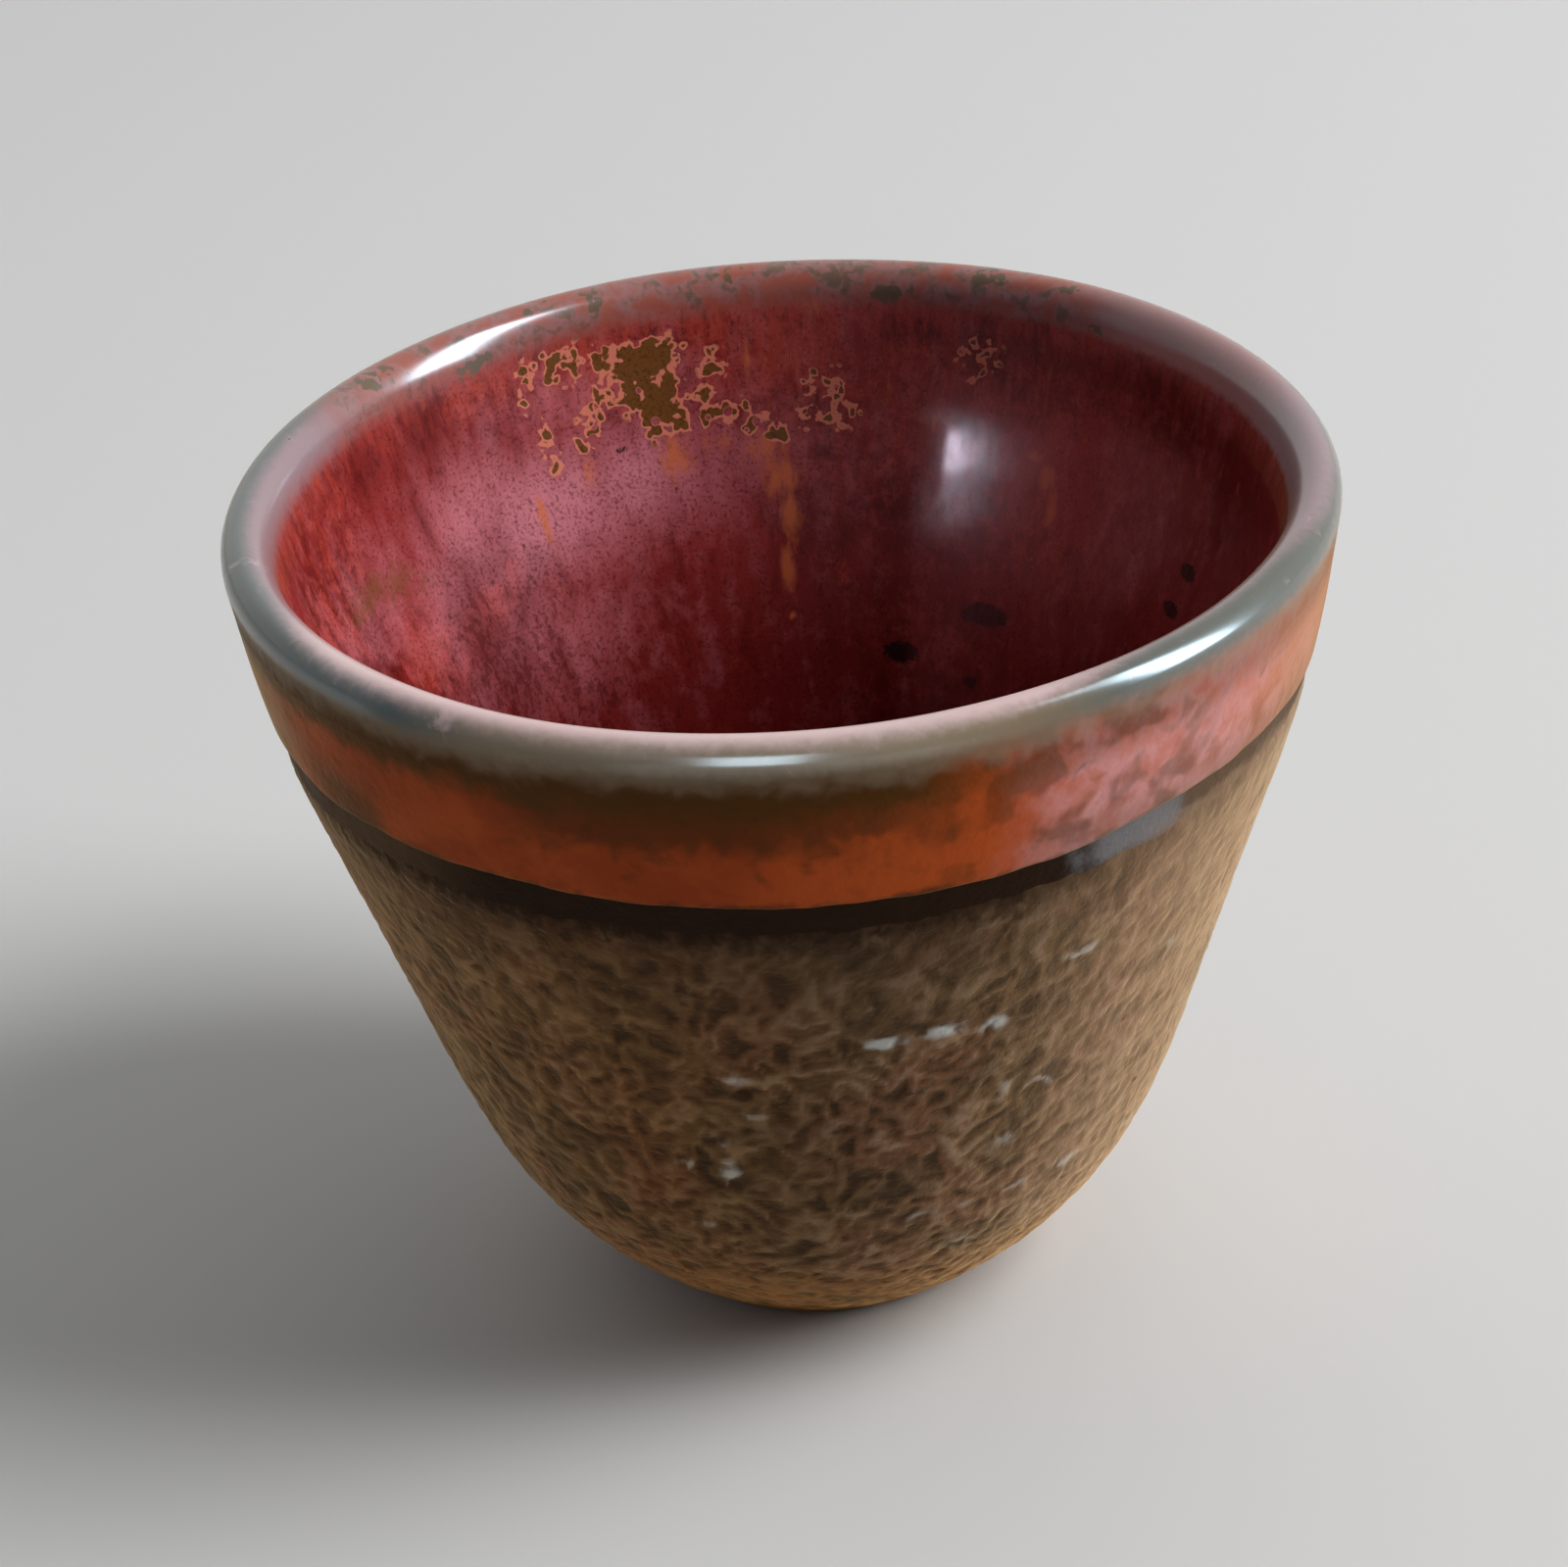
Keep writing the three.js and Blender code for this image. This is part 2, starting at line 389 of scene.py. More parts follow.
class Net:
    """Adds nodes to a tree, joins them and hands back what they put out."""

    def __init__(self, tree):
        self.tree = tree

    def put(self, socket, value):
        """Links a socket's value, or sets it."""
        if isinstance(value, bpy.types.NodeSocket):
            self.tree.links.new(value, socket)
        elif socket.type == "RGBA" and len(value) == 3:
            socket.default_value = (*value, 1)
        else:
            socket.default_value = value

    def node(self, kind, inputs=None, **settings):
        """A node with its settings and its inputs, given by name or number."""
        made = self.tree.nodes.new(kind)
        for key, value in settings.items():
            setattr(made, key, value)
        for key, value in (inputs or {}).items():
            self.put(made.inputs[key], value)
        return made

    def math(self, operation, *values, clamp=False):
        inputs = dict(enumerate(values))
        return self.node("ShaderNodeMath", inputs, operation=operation, use_clamp=clamp).outputs[0]

    def times(self, a, b):
        return self.math("MULTIPLY", a, b)

    def plus(self, a, b):
        return self.math("ADD", a, b)

    def minus(self, a, b):
        return self.math("SUBTRACT", a, b)

    def most(self, a, b):
        return self.math("MAXIMUM", a, b)

    def times_plus(self, a, b, c, clamp=False):
        """a times b, plus c."""
        return self.math("MULTIPLY_ADD", a, b, c, clamp=clamp)

    def centred(self, value):
        """A value from 0 to 1, moved to lie about zero."""
        return self.math("SUBTRACT", value, 0.5)

    def vector(self, operation, a, b):
        made = self.node("ShaderNodeVectorMath", {0: a}, operation=operation)
        self.put(made.inputs["Scale" if operation == "SCALE" else 1], b)
        return made.outputs["Value" if operation == "DOT_PRODUCT" else "Vector"]

    def join(self, x, y, z):
        return self.node("ShaderNodeCombineXYZ", {0: x, 1: y, 2: z}).outputs[0]

    def split(self, vector):
        return self.node("ShaderNodeSeparateXYZ", {0: vector}).outputs

    def remap(self, value, low, high, to_low=0, to_high=1, smooth=True):
        """A value that runs from low to high, brought to the other range and kept in it."""
        kind = "SMOOTHSTEP" if smooth else "LINEAR"
        inputs = {0: value, 1: low, 2: high, 3: to_low, 4: to_high}
        return self.node("ShaderNodeMapRange", inputs, interpolation_type=kind).outputs[0]

    def mix(self, factor, a, b, blend="MIX"):
        """A colour between two."""
        inputs = {0: factor, 6: a, 7: b}
        return self.node("ShaderNodeMix", inputs, data_type="RGBA", blend_type=blend).outputs[2]

    def between(self, factor, a, b):
        """A number between two."""
        return self.node("ShaderNodeMix", {0: factor, 2: a, 3: b}, data_type="FLOAT").outputs[0]

    def noise(self, vector, scale, detail=2, roughness=0.5, distortion=0, output="Fac"):
        inputs = {"Vector": vector, "Scale": scale, "Detail": detail}
        inputs |= {"Roughness": roughness, "Distortion": distortion}
        return self.node("ShaderNodeTexNoise", inputs, noise_dimensions="3D").outputs[output]

    def cells(self, vector, scale):
        """The distance to the nearest of many scattered points."""
        inputs = {"Vector": vector, "Scale": scale}
        return self.node("ShaderNodeTexVoronoi", inputs, voronoi_dimensions="3D").outputs["Distance"]


def new_group(name, kind, inputs, outputs):
    """A node group with named sockets: (name, socket type, default) and (name, socket type)."""
    tree = bpy.data.node_groups.new(name, kind)
    for title, socket, default in inputs:
        made = tree.interface.new_socket(name=title, in_out="INPUT", socket_type=socket)
        if default is not None:
            made.default_value = default
    for title, socket in outputs:
        tree.interface.new_socket(name=title, in_out="OUTPUT", socket_type=socket)
    start = tree.nodes.new("NodeGroupInput")
    end = tree.nodes.new("NodeGroupOutput")
    return tree, Net(tree), start.outputs, end.inputs


# The wheel tree, which turns an outline into a piece

# Brings a noise about zero to about 1 either way
SWING = 2.6

# Where the edges of the coats climb: the middle of that side, and how far it reaches from there
CLIMB_MIDDLE = math.radians(-18)
CLIMB_REACH = math.radians(52)

# Points nearer than this are one, and edges that bend more than this stay sharp
SAME_PLACE = 0.002 * MM
SHARP_ANGLE = math.radians(50)


def wrinkles(net, place, width, seed):
    """Soft leathery wrinkles, from 0 in a hollow to 1 on a crest, and pits.

    They stand tall below the iron line and lie level near the foot.
    """
    x, y, z = net.split(place)
    near_foot, below_line = net.math("MINIMUM", z, 20 * MM), net.math("MINIMUM", z, 50 * MM)
    squeezed = net.times_plus(near_foot, 0.5, net.times(z, 0.7))
    squeezed = net.times_plus(below_line, 0.2, squeezed)
    scaled = net.vector("SCALE", net.join(x, y, squeezed), net.math("DIVIDE", 1, width))
    flat = net.vector("ADD", scaled, net.join(net.times(seed, 7.31), seed, net.times(seed, 3.7)))
    bend = net.vector("SUBTRACT", net.noise(flat, 0.7, 1, output="Color"), (0.5, 0.5, 0.5))
    bent = net.vector("ADD", flat, net.vector("SCALE", bend, 1.4))
    pillow = net.remap(net.noise(bent, 1.05, 1.5, 0.4), 0.3, 0.7, smooth=False)
    away = net.vector("ADD", bent, (9, 4, 7))
    worm = net.math("ABSOLUTE", net.centred(net.noise(away, 1.4, 1, 0.35)))
    ridge = net.remap(worm, 0, 0.17, 1, 0)
    total = net.times_plus(pillow, 0.45, net.times(ridge, 0.55), clamp=True)
    pit = net.remap(net.cells(bent, 0.42), 0.13, 0.25, 1, 0)
    return total, pit


def wandering_edge(net, given, angle, cosine, sine):
    """How far a coat's edge moves up the wall: its waves, and its climb on the bowl's right."""
    around = net.join(cosine, sine, given["Edge Seed"])
    wander = net.centred(net.noise(around, 2.6, 3, 0.6))
    wave = net.times(net.times(wander, 4), given["Edge Wave"])
    nearness = net.math("COSINE", net.minus(angle, CLIMB_MIDDLE))
    climb = net.times(net.remap(nearness, math.cos(CLIMB_REACH), 0.97), given["Edge Rise"])
    return net.plus(wave, climb)


def bent_by_hand(net, given, radius, height, cosine, sine):
    """A turned point, where the wall strays from a true circle and the rim from its level."""
    off_base = net.remap(height, 2 * MM, 22 * MM)
    near_rim = net.remap(height, RIM_TOP - 25 * MM, RIM_TOP)
    hand = net.join(cosine, sine, net.times(height, 14))
    stray = net.times(net.times(net.centred(net.noise(hand, 0.9, 1)), SWING), given["Wobble"])
    on_axis = net.math("LESS_THAN", radius, 0.02 * MM)
    radius = net.between(on_axis, net.times_plus(stray, off_base, radius), 0)
    level = net.join(cosine, sine, 3)
    sway = net.times(net.times(net.centred(net.noise(level, 1.1, 1)), SWING), given["Rim Wave"])
    height = net.times_plus(sway, near_rim, height)
    return net.join(net.times(radius, cosine), net.times(radius, sine), height)


def raised_front(net, given, position, relief, pit):
    """How far a coat's front rises off the turned form: wrinkles, pits and faint finger rings."""
    dented = net.minus(net.minus(relief, 0.6), net.times(pit, 0.45))
    lumps = net.noise(net.vector("SCALE", position, 1 / MM), 0.055, 1)
    dented = net.plus(dented, net.centred(lumps))
    rings = net.noise(net.vector("MULTIPLY", position, (16, 16, 120)), 1, 1)
    raised = net.times(net.centred(rings), given["Unevenness"])
    return net.times_plus(dented, given["Relief"], raised)


def wheel_tree():
    """Turns an outline round the axis, lets its edge wander, bends it as hands do and wrinkles it."""
    numbers = {"Edge Wave": 0, "Edge Rise": 0, "Wobble": 0, "Rim Wave": 0, "Unevenness": 0, "Relief": 0}
    numbers |= {"Wrinkle": 2.3 * MM, "Edge Seed": 1, "Seed": 4}
    inputs = [("Geometry", "NodeSocketGeometry", None), ("Segments", "NodeSocketInt", 480)]
    inputs += [(title, NUMBER, default) for title, default in numbers.items()]
    inputs += [("Material", "NodeSocketMaterial", None)]
    outputs = [("Geometry", "NodeSocketGeometry")]
    tree, net, given, result = new_group("turn_on_the_wheel", "GeometryNodeTree", inputs, outputs)
    line = given["Geometry"]
    count = net.node("GeometryNodeAttributeDomainSize", {0: line}, component="MESH").outputs["Point Count"]
    columns = net.plus(given["Segments"], 1)
    shape = net.node("GeometryNodeMeshGrid", {0: 1, 1: 1, 2: columns, 3: count}).outputs["Mesh"]
    index = net.node("GeometryNodeInputIndex").outputs[0]
    row = net.node("FunctionNodeIntegerMath", {0: index, 1: count}, operation="MODULO").outputs[0]
    column = net.node("FunctionNodeIntegerMath", {0: index, 1: count}, operation="DIVIDE_FLOOR").outputs[0]
    angle = net.times(column, net.math("DIVIDE", math.tau, given["Segments"]))
    cosine, sine = net.math("COSINE", angle), net.math("SINE", angle)

    def read(title):
        return net.node("GeometryNodeInputNamedAttribute", {"Name": title}, data_type="FLOAT").outputs[0]

    def on_line(value, kind="FLOAT"):
        inputs = {0: line, 1: value, 2: row}
        return net.node("GeometryNodeSampleIndex", inputs, data_type=kind, domain="POINT").outputs[0]

    def stored(shape, title, value):
        inputs = {"Geometry": shape, "Name": title, "Value": value}
        kind = "GeometryNodeStoreNamedAttribute"
        return net.node(kind, inputs, data_type="FLOAT", domain="POINT").outputs[0]

    position = net.node("GeometryNodeInputPosition").outputs[0]
    radius, _, height = net.split(on_line(position, "FLOAT_VECTOR"))
    shift = net.times(wandering_edge(net, given, angle, cosine, sine), on_line(read("pull")))
    radius = net.times_plus(shift, on_line(read("along_r")), radius)
    height = net.times_plus(shift, on_line(read("along_z")), height)
    place = bent_by_hand(net, given, radius, height, cosine, sine)
    shape = net.node("GeometryNodeSetPosition", {"Geometry": shape, "Position": place}).outputs[0]
    for title in ("cover", "across"):
        shape = stored(shape, title, on_line(read(title)))
    inputs = {"Geometry": shape, "Distance": SAME_PLACE}
    shape = net.node("GeometryNodeMergeByDistance", inputs).outputs[0]

    relief, pit = wrinkles(net, position, given["Wrinkle"], given["Seed"])
    shape = stored(stored(shape, "relief", relief), "pit", pit)
    raised = net.times(raised_front(net, given, position, relief, pit), read("cover"))
    normal = net.node("GeometryNodeInputNormal").outputs["Normal"]
    inputs = {"Geometry": shape, "Offset": net.vector("SCALE", normal, raised)}
    shape = net.node("GeometryNodeSetPosition", inputs).outputs[0]
    shape = net.node("GeometryNodeSetShadeSmooth", {"Geometry": shape}, domain="FACE").outputs[0]
    shape = net.node("GeometryNodeRealizeInstances", {"Geometry": shape}).outputs[0]
    inputs = {"Geometry": shape, "Material": given["Material"]}
    shape = net.node("GeometryNodeSetMaterial", inputs).outputs[0]
    net.put(result["Geometry"], shape)
    return tree


def turned_piece(name, line, node, slot, material, sharp=True, **values):
    """Runs the wheel tree on an outline and keeps the result as a plain mesh in the node's place."""
    form = bpy.context.scene.bowl_form
    tree = bpy.data.node_groups.get("turn_on_the_wheel") or wheel_tree()
    wanted = {"segments": form.segments, "wobble": form.wobble, "rim_wave": form.rim_wave}
    wanted |= {"material": material, **values}
    modifier = line.modifiers.new("wheel", "NODES")
    modifier.node_group = tree
    sockets = {item.name: item for item in tree.interface.items_tree if item.in_out == "INPUT"}
    for key, value in wanted.items():
        modifier[sockets[key.replace("_", " ").title()].identifier] = value
    graph = bpy.context.evaluated_depsgraph_get()
    graph.update()
    mesh = bpy.data.meshes.new_from_object(line.evaluated_get(graph), depsgraph=graph)
    line.modifiers.clear()
    bpy.data.objects.remove(line)
    mesh.name = name
    if sharp:
        mesh.set_sharp_from_angle(angle=SHARP_ANGLE)
    piece = bpy.data.objects.new(name, mesh)
    bpy.context.scene.collection.objects.link(piece)
    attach(piece, "root")
    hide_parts(node)
    return piece


# Marks, placed one by one

# A row gives a mark's angle in degrees, its height above the base and how far it reaches sideways
# and upwards in millimetres, and its strength
Mark = namedtuple("Mark", "angle height wide tall strength", defaults=(1,))


def store_marks(piece, title, marks, inner_only=False):
    """Stores on each point of a piece how near it is to the marks."""
    mesh = piece.data
    places = np.empty(len(mesh.vertices) * 3, np.float32)
    mesh.vertices.foreach_get("co", places)
    x, y, z = places.reshape(-1, 3).T
    radius, angle = np.hypot(x, y), np.degrees(np.arctan2(y, x))
    total = np.zeros(len(x))
    for mark in (Mark(*row) for row in marks):
        gap = (angle - mark.angle + 180) % 360 - 180
        aside = np.radians(gap) * radius / (mark.wide * MM)
        above = (z - mark.height * MM) / (mark.tall * MM)
        total = np.maximum(total, mark.strength * np.exp(-(aside**2) - above**2))
    if inner_only:
        across = np.empty(len(x), np.float32)
        mesh.attributes["across"].data.foreach_get("value", across)
        total *= smoothstep(across, 0.35, 0.5)
    store(mesh, title, total)


# Pale dashes on the slip: partly ash, partly painted glints on its crests
ASH_AND_GLINT_DASHES = (
    (-82.5, 50.6, 2.4, 1), (-75.8, 51, 2.6, 1.1), (-69.5, 50.2, 1.8, 1.1),
    (-83.5, 55.5, 1, 1.6, 0.6), (-100, 46.4, 2, 0.8, 0.7), (-94.5, 44, 1.4, 0.9, 0.55),
    (-98.5, 41.3, 2.4, 0.6, 0.55), (-102.8, 32.8, 1.2, 2.4, 0.9), (-103.4, 37.6, 1.2, 1.2, 0.7),
    (-108.8, 33.8, 1.2, 1.2, 0.75), (-108, 24.2, 2.6, 0.9, 0.55), (-59, 55.5, 3.4, 1.3, 0.65),
    (-42.5, 49, 1.4, 2, 0.55), (-60.5, 39.6, 2.6, 1.3, 0.7), (-66.5, 40.5, 1.2, 1.8, 0.5),
    (-65, 33, 1.8, 1.6, 0.55), (-52, 24.4, 2.8, 1.2, 0.75), (-61.5, 24.6, 2.2, 0.9, 0.6),
    (-78, 24.6, 2.8, 0.9, 0.55), (-69.5, 24.4, 1.6, 0.9, 0.5), (-69.5, 17.6, 2.4, 1.4, 0.65),
    (-92, 28.8, 1.4, 0.9, 0.5), (-35, 22, 3, 1.2, 0.5), (35, 48, 3, 1, 0.7), (62, 44, 2, 1.2, 0.6),
    (120, 40, 2.5, 1.1, 0.7), (165, 36, 2.2, 1, 0.6),
)

SLIP_PITS = (
    (-99.6, 44.4, 1.3, 1.1), (-81.2, 53.6, 0.8, 0.8, 0.8), (-79, 42.6, 3.4, 2.2, 0.6),
    (-69.5, 65, 2, 2.6, 0.8), (-86.5, 26.8, 1.3, 0.9, 0.6), (-139, 57, 1.4, 1.2, 0.8),
    (-113, 20.6, 1, 0.9, 0.8), (-124, 32.4, 1.2, 0.7, 0.8), (-69, 14.2, 1.4, 0.8, 0.8),
    (-58.5, 16.4, 1, 0.6, 0.8), (-39.5, 30.2, 1.2, 0.9, 0.7), (-80, 12.2, 1.4, 0.4, 0.8),
)

OLIVE_PATCHES = (
    (105.2, 78.2, 3.2, 2.6, 1.2), (108.8, 77.8, 2.8, 2.6, 1.2), (105.6, 73.8, 2.8, 3.6, 1.25),
    (108.6, 75, 2.4, 2.4, 1.05), (103.4, 71.2, 2, 1.8), (112.8, 79, 2.6, 1.9, 0.8),
    (116.2, 79.6, 2, 2.4, 0.7), (119.4, 79.6, 2.4, 2.6, 0.76), (122.8, 80, 2, 2.2, 0.66),
    (124.6, 77.4, 1.1, 2.6, 0.57), (113.6, 75.6, 1.6, 2.6, 0.64), (115.6, 73, 2, 2.6, 0.64),
    (117.6, 71, 1.6, 1.7, 0.62), (122, 69.9, 1.8, 1.6, 0.76), (122.4, 73.2, 1.2, 2.1, 0.66),
    (97.8, 76.6, 1.7, 2.1, 0.76), (99.4, 73.4, 1.7, 1.9, 0.76), (99.6, 71.6, 2, 1.6, 0.82),
    (96, 71.6, 2.4, 1.5, 0.86), (92.8, 70.2, 1.9, 1.5, 0.84), (89.2, 69, 1.5, 1.4, 0.92),
    (85.6, 70.2, 2, 1.5, 0.62), (82, 70.4, 2.6, 1.8, 0.7), (81.2, 73.4, 1.9, 2.5, 0.62),
    (84.6, 73.6, 1.6, 2.1, 0.58), (78.8, 70.6, 0.9, 2, 0.6), (61.8, 78, 3.6, 2.6, 0.58),
    (61.4, 74.6, 1.8, 1.4, 0.52),
)

OLIVE_SMEAR = (
    (163, 68.4, 6, 1.9), (156, 67.2, 4.6, 2.3, 0.9), (150.5, 65.6, 2.4, 1.6, 0.6),
    (61.8, 77.6, 4.4, 3.4, 0.6), (94, 66, 3, 2, 0.4),
)

SALMON_RUNS = (
    (126, 65.2, 0.7, 2.9, 0.95), (117.2, 68.2, 0.9, 1.8, 0.7), (104.4, 67.8, 2, 2.6, 0.85),
    (91.6, 67.6, 4, 2, 0.66), (89.6, 64.2, 2.8, 3, 0.74), (88.4, 60.6, 1.3, 3.4, 0.85),
    (89.4, 55.4, 0.8, 2.8), (89.1, 50.3, 0.5, 0.5), (98.4, 68.6, 2.6, 1.4, 0.5),
    (74, 74, 0.35, 4.6, 0.6), (93.1, 76.8, 0.45, 3.6, 0.7), (86.6, 76, 0.5, 3, 0.5),
    (51.3, 75.4, 0.45, 4.6, 0.75), (52, 68.6, 1.8, 0.7, 0.85), (49, 66.8, 1.2, 1.6, 0.9),
    (47.4, 64, 0.7, 2), (67.4, 70, 0.5, 1.6, 0.8), (84, 82.4, 2.8, 1.8, 0.55),
    (44, 71.6, 1.6, 0.5, 0.6),
)

# Dark patches in the well; the last two rows are a painted shadow of the lip on the right wall
DARK_PATCHES_AND_LIP_SHADOW = (
    (153.4, 78.6, 4, 3.4), (141.5, 78.6, 5, 4, 0.95), (145.8, 71, 1.5, 6, 0.8), (143.5, 58, 3.8, 8),
    (139, 51.5, 4.4, 5.6, 0.9), (131, 51.5, 2, 7, 0.9), (125, 46, 5, 4, 0.6),
    (136, 63, 4.4, 1.6, 0.6), (40, 79, 20, 2, 0.7), (12, 78, 20, 2, 0.7),
)

DARK_MARKS = (
    (55.6, 51.9, 3, 1.3), (58.6, 51.4, 1.2, 0.8, 0.9), (70.4, 46.6, 2.6, 1.5, 0.8),
    (17.3, 64.9, 1.8, 0.9), (18.3, 60.8, 1.8, 0.8), (57, 44.6, 1.4, 0.9, 0.7),
    (112, 69.6, 1, 0.6, 0.6), (98, 77, 0.5, 1.4, 0.5),
)

# Where the mauve lies: partly the glaze's bloom, partly a painted reflection of the key lamp on the left
# wall
PALE_BLOOM_AND_REFLECTION = (
    (136, 68.6, 9, 6, 0.7), (124, 66, 11, 6.5), (111, 66.4, 9, 6, 0.9), (146, 62, 8, 7, 0.45),
    (133, 54, 12, 7, 0.42), (98, 67, 10, 6, 0.45), (118, 76, 12, 4, 0.4), (62, 66, 5, 7, 0.2),
    (165, 67.5, 12, 6, 0.3),
)

BRIGHT_RED = (
    (166, 76, 14, 9, 0.5), (130, 80, 10, 4, 0.7), (114, 78, 12, 5, 0.75), (98, 77, 8, 5, 0.5),
    (176, 70, 10, 8, 0.5), (156, 60, 6, 6, 0.7), (139.6, 59.8, 2.4, 2.2),
    (133.4, 62.4, 1.4, 1.2, 0.7), (127, 57.6, 1, 1.2, 0.7), (80.2, 55.2, 2.4, 2.2, 0.6),
    (88, 78, 14, 8, 0.85), (68, 72, 14, 12, 0.7), (44, 68, 16, 14, 0.9), (26, 62, 10, 8, 0.5),
    (95, 48, 12, 6, 0.4), (66, 48, 14, 6, 0.6), (-175, 70, 12, 10, 0.5), (-120, 66, 9, 7, 0.6),
    (-60, 60, 8, 9, 0.5),
)

LIP_PATCHES = (
    (74.2, 83.6, 2.4, 1.2), (45, 83.2, 1.4, 0.9, 0.8), (130.2, 82.9, 3, 1.1),
    (112.5, 85, 2, 1, 0.75), (145, 85.6, 4, 1.2, 0.8), (62, 85.8, 4, 1.2, 0.7),
    (50, 85.9, 2.6, 1.2, 0.7), (95, 85.6, 3.4, 1.2, 0.62), (121, 85.9, 3, 1, 0.62),
)

# Pale spots on top of the lip: painted highlights
LIP_GLINTS = (
    (-124.5, 85.2, 1.3, 0.8), (-166, 85.6, 0.8, 0.8, 0.6),
)

WELL_MARKS = {
    "patch": OLIVE_PATCHES,
    "smear": OLIVE_SMEAR,
    "run": SALMON_RUNS,
    "thick_glaze_and_shade": DARK_PATCHES_AND_LIP_SHADOW,
    "dark": DARK_MARKS,
    "bloom_and_reflection": PALE_BLOOM_AND_REFLECTION,
    "red": BRIGHT_RED,
}


# Shader node groups that several finishes share

def place_group():
    """Where a point lies on the bowl: its angle in degrees and its height in millimetres."""
    outputs = [("Angle", NUMBER), ("Height", NUMBER), ("Millimetres", VECTOR)]
    tree, net, _, result = new_group("place_on_bowl", "ShaderNodeTree", [], outputs)
    spot = net.node("ShaderNodeTexCoord").outputs["Object"]
    x, y, z = net.split(spot)
    net.put(result["Angle"], net.times(net.math("ARCTAN2", y, x), math.degrees(1)))
    net.put(result["Height"], net.math("DIVIDE", z, MM))
    net.put(result["Millimetres"], net.vector("SCALE", spot, 1 / MM))
    return tree


def streak_group():
    """Streaks that run down the wall, from 0 to 1, and the same much finer."""
    inputs = [("Width", NUMBER, 2), ("Length", NUMBER, 18), ("Seed", NUMBER, 0)]
    outputs = [("Broad", NUMBER), ("Fine", NUMBER)]
    tree, net, given, result = new_group("streaks_down_wall", "ShaderNodeTree", inputs, outputs)
    spot = net.vector("SCALE", net.node("ShaderNodeTexCoord").outputs["Object"], 1 / MM)
    x, y, z = net.split(spot)
    across = net.math("DIVIDE", 1, given["Width"])
    down = net.math("DIVIDE", net.plus(z, net.times(given["Seed"], 37)), given["Length"])
    stretched = net.join(net.times(x, across), net.times(y, across), down)
    net.put(result["Broad"], net.noise(stretched, 1, 3, 0.55, 0.3))
    net.put(result["Fine"], net.noise(net.vector("MULTIPLY", stretched, (5, 5, 3.5)), 1, 2, 0.6))
    return tree


def broken_group():
    """Patches where a glaze breaks, and their thin outlines, from how near the marks are."""
    inputs = [("Nearness", NUMBER, 0), ("Grain", NUMBER, 1.15)]
    inputs += [("Ragged", NUMBER, 1.5), ("Outline", NUMBER, 0.11)]
    outputs = [("Patch", NUMBER), ("Outline", NUMBER)]
    tree, net, given, result = new_group("broken_glaze", "ShaderNodeTree", inputs, outputs)
    spot = net.vector("SCALE", net.node("ShaderNodeTexCoord").outputs["Object"], 1 / MM)
    fine = net.vector("SCALE", spot, net.math("DIVIDE", 1, given["Grain"]))
    ragged = net.centred(net.noise(fine, 0.8, 2, 0.45, 0.3))
    field = net.times_plus(ragged, given["Ragged"], given["Nearness"])
    bubble = net.remap(net.cells(fine, 0.95), 0.1, 0.7, 0.16, -0.16)
    field = net.plus(field, bubble)
    dots = net.remap(net.cells(fine, 0.6), 0.2, 0.32, 0.75, 0)
    some = net.remap(net.noise(fine, 0.25, 1), 0.46, 0.56)
    field = net.minus(field, net.times(dots, some))
    edge = 0.52
    net.put(result["Patch"], net.remap(field, edge, edge + 0.04))
    off = net.math("ABSOLUTE", net.minus(field, edge))
    thin = net.remap(net.math("DIVIDE", off, given["Outline"]), 0.6, 1.2, 1, 0)
    net.put(result["Outline"], net.times(thin, net.remap(given["Nearness"], 0.16, 0.34)))
    return tree


GROUPS = {"place_on_bowl": place_group, "streaks_down_wall": streak_group, "broken_glaze": broken_group}


def shared(net, name, **inputs):
    """A shared group's outputs in this material."""
    made = net.node("ShaderNodeGroup")
    made.node_tree = bpy.data.node_groups.get(name) or GROUPS[name]()
    for title, value in inputs.items():
        net.put(made.inputs[title], value)
    return made.outputs


def facing(net, angle, middle, half, soft=15):
    """1 within half degrees of a direction round the bowl, which fades to 0 over soft degrees.

    0 is the bowl's right in the photograph, -90 its front, 90 its back and 180 its left.
    """
    turned = net.math("RADIANS", net.minus(angle, middle))
    low, high = math.cos(math.radians(half + soft)), math.cos(math.radians(half))
    return net.remap(net.math("COSINE", turned), low, high)


def attribute(net, title):
    return net.node("ShaderNodeAttribute", attribute_name=title).outputs["Fac"]


# Finishes

# Clay, slip and glazes are satin by themselves, and what shines is a glassy film over them
SATIN = 0.04
# How strongly the film bends light, on the band and elsewhere
BAND_BEND = 1.5
FILM_BEND = 1.6
# Towards the edges of the form the outside catches some warm light
SHEEN_ROUGHNESS = 0.35
CLAY_EDGE = (0.9, 0.5, 0.18)
SLIP_EDGE = (1.0, 0.68, 0.36)
GLAZE_EDGE = (1.0, 0.66, 0.22)
# Linear colours: painted shade on the slip's front and on the lip's front right, a tint that warms the
# slip's left, and painted sheen on the band's far left
SLIP_FRONT_SHADE = (0.88, 0.84, 0.74)
SLIP_LEFT = (1.08, 0.93, 0.68)
LIP_FRONT_RIGHT_SHADE = (0.78, 0.73, 0.68)
BAND_FAR_LEFT_SHEEN = (0.36, 0.2, 0.075)


def new_material(name, gloss=SATIN):
    """An empty material, its net and its shader."""
    made = bpy.data.materials.new(name)
    made.use_nodes = True
    tree = made.node_tree
    tree.nodes.clear()
    net = Net(tree)
    shader = net.node("ShaderNodeBsdfPrincipled", {"Specular IOR Level": gloss})
    end = net.node("ShaderNodeOutputMaterial")
    tree.links.new(shader.outputs[0], end.inputs[0])
    return made, net, shader


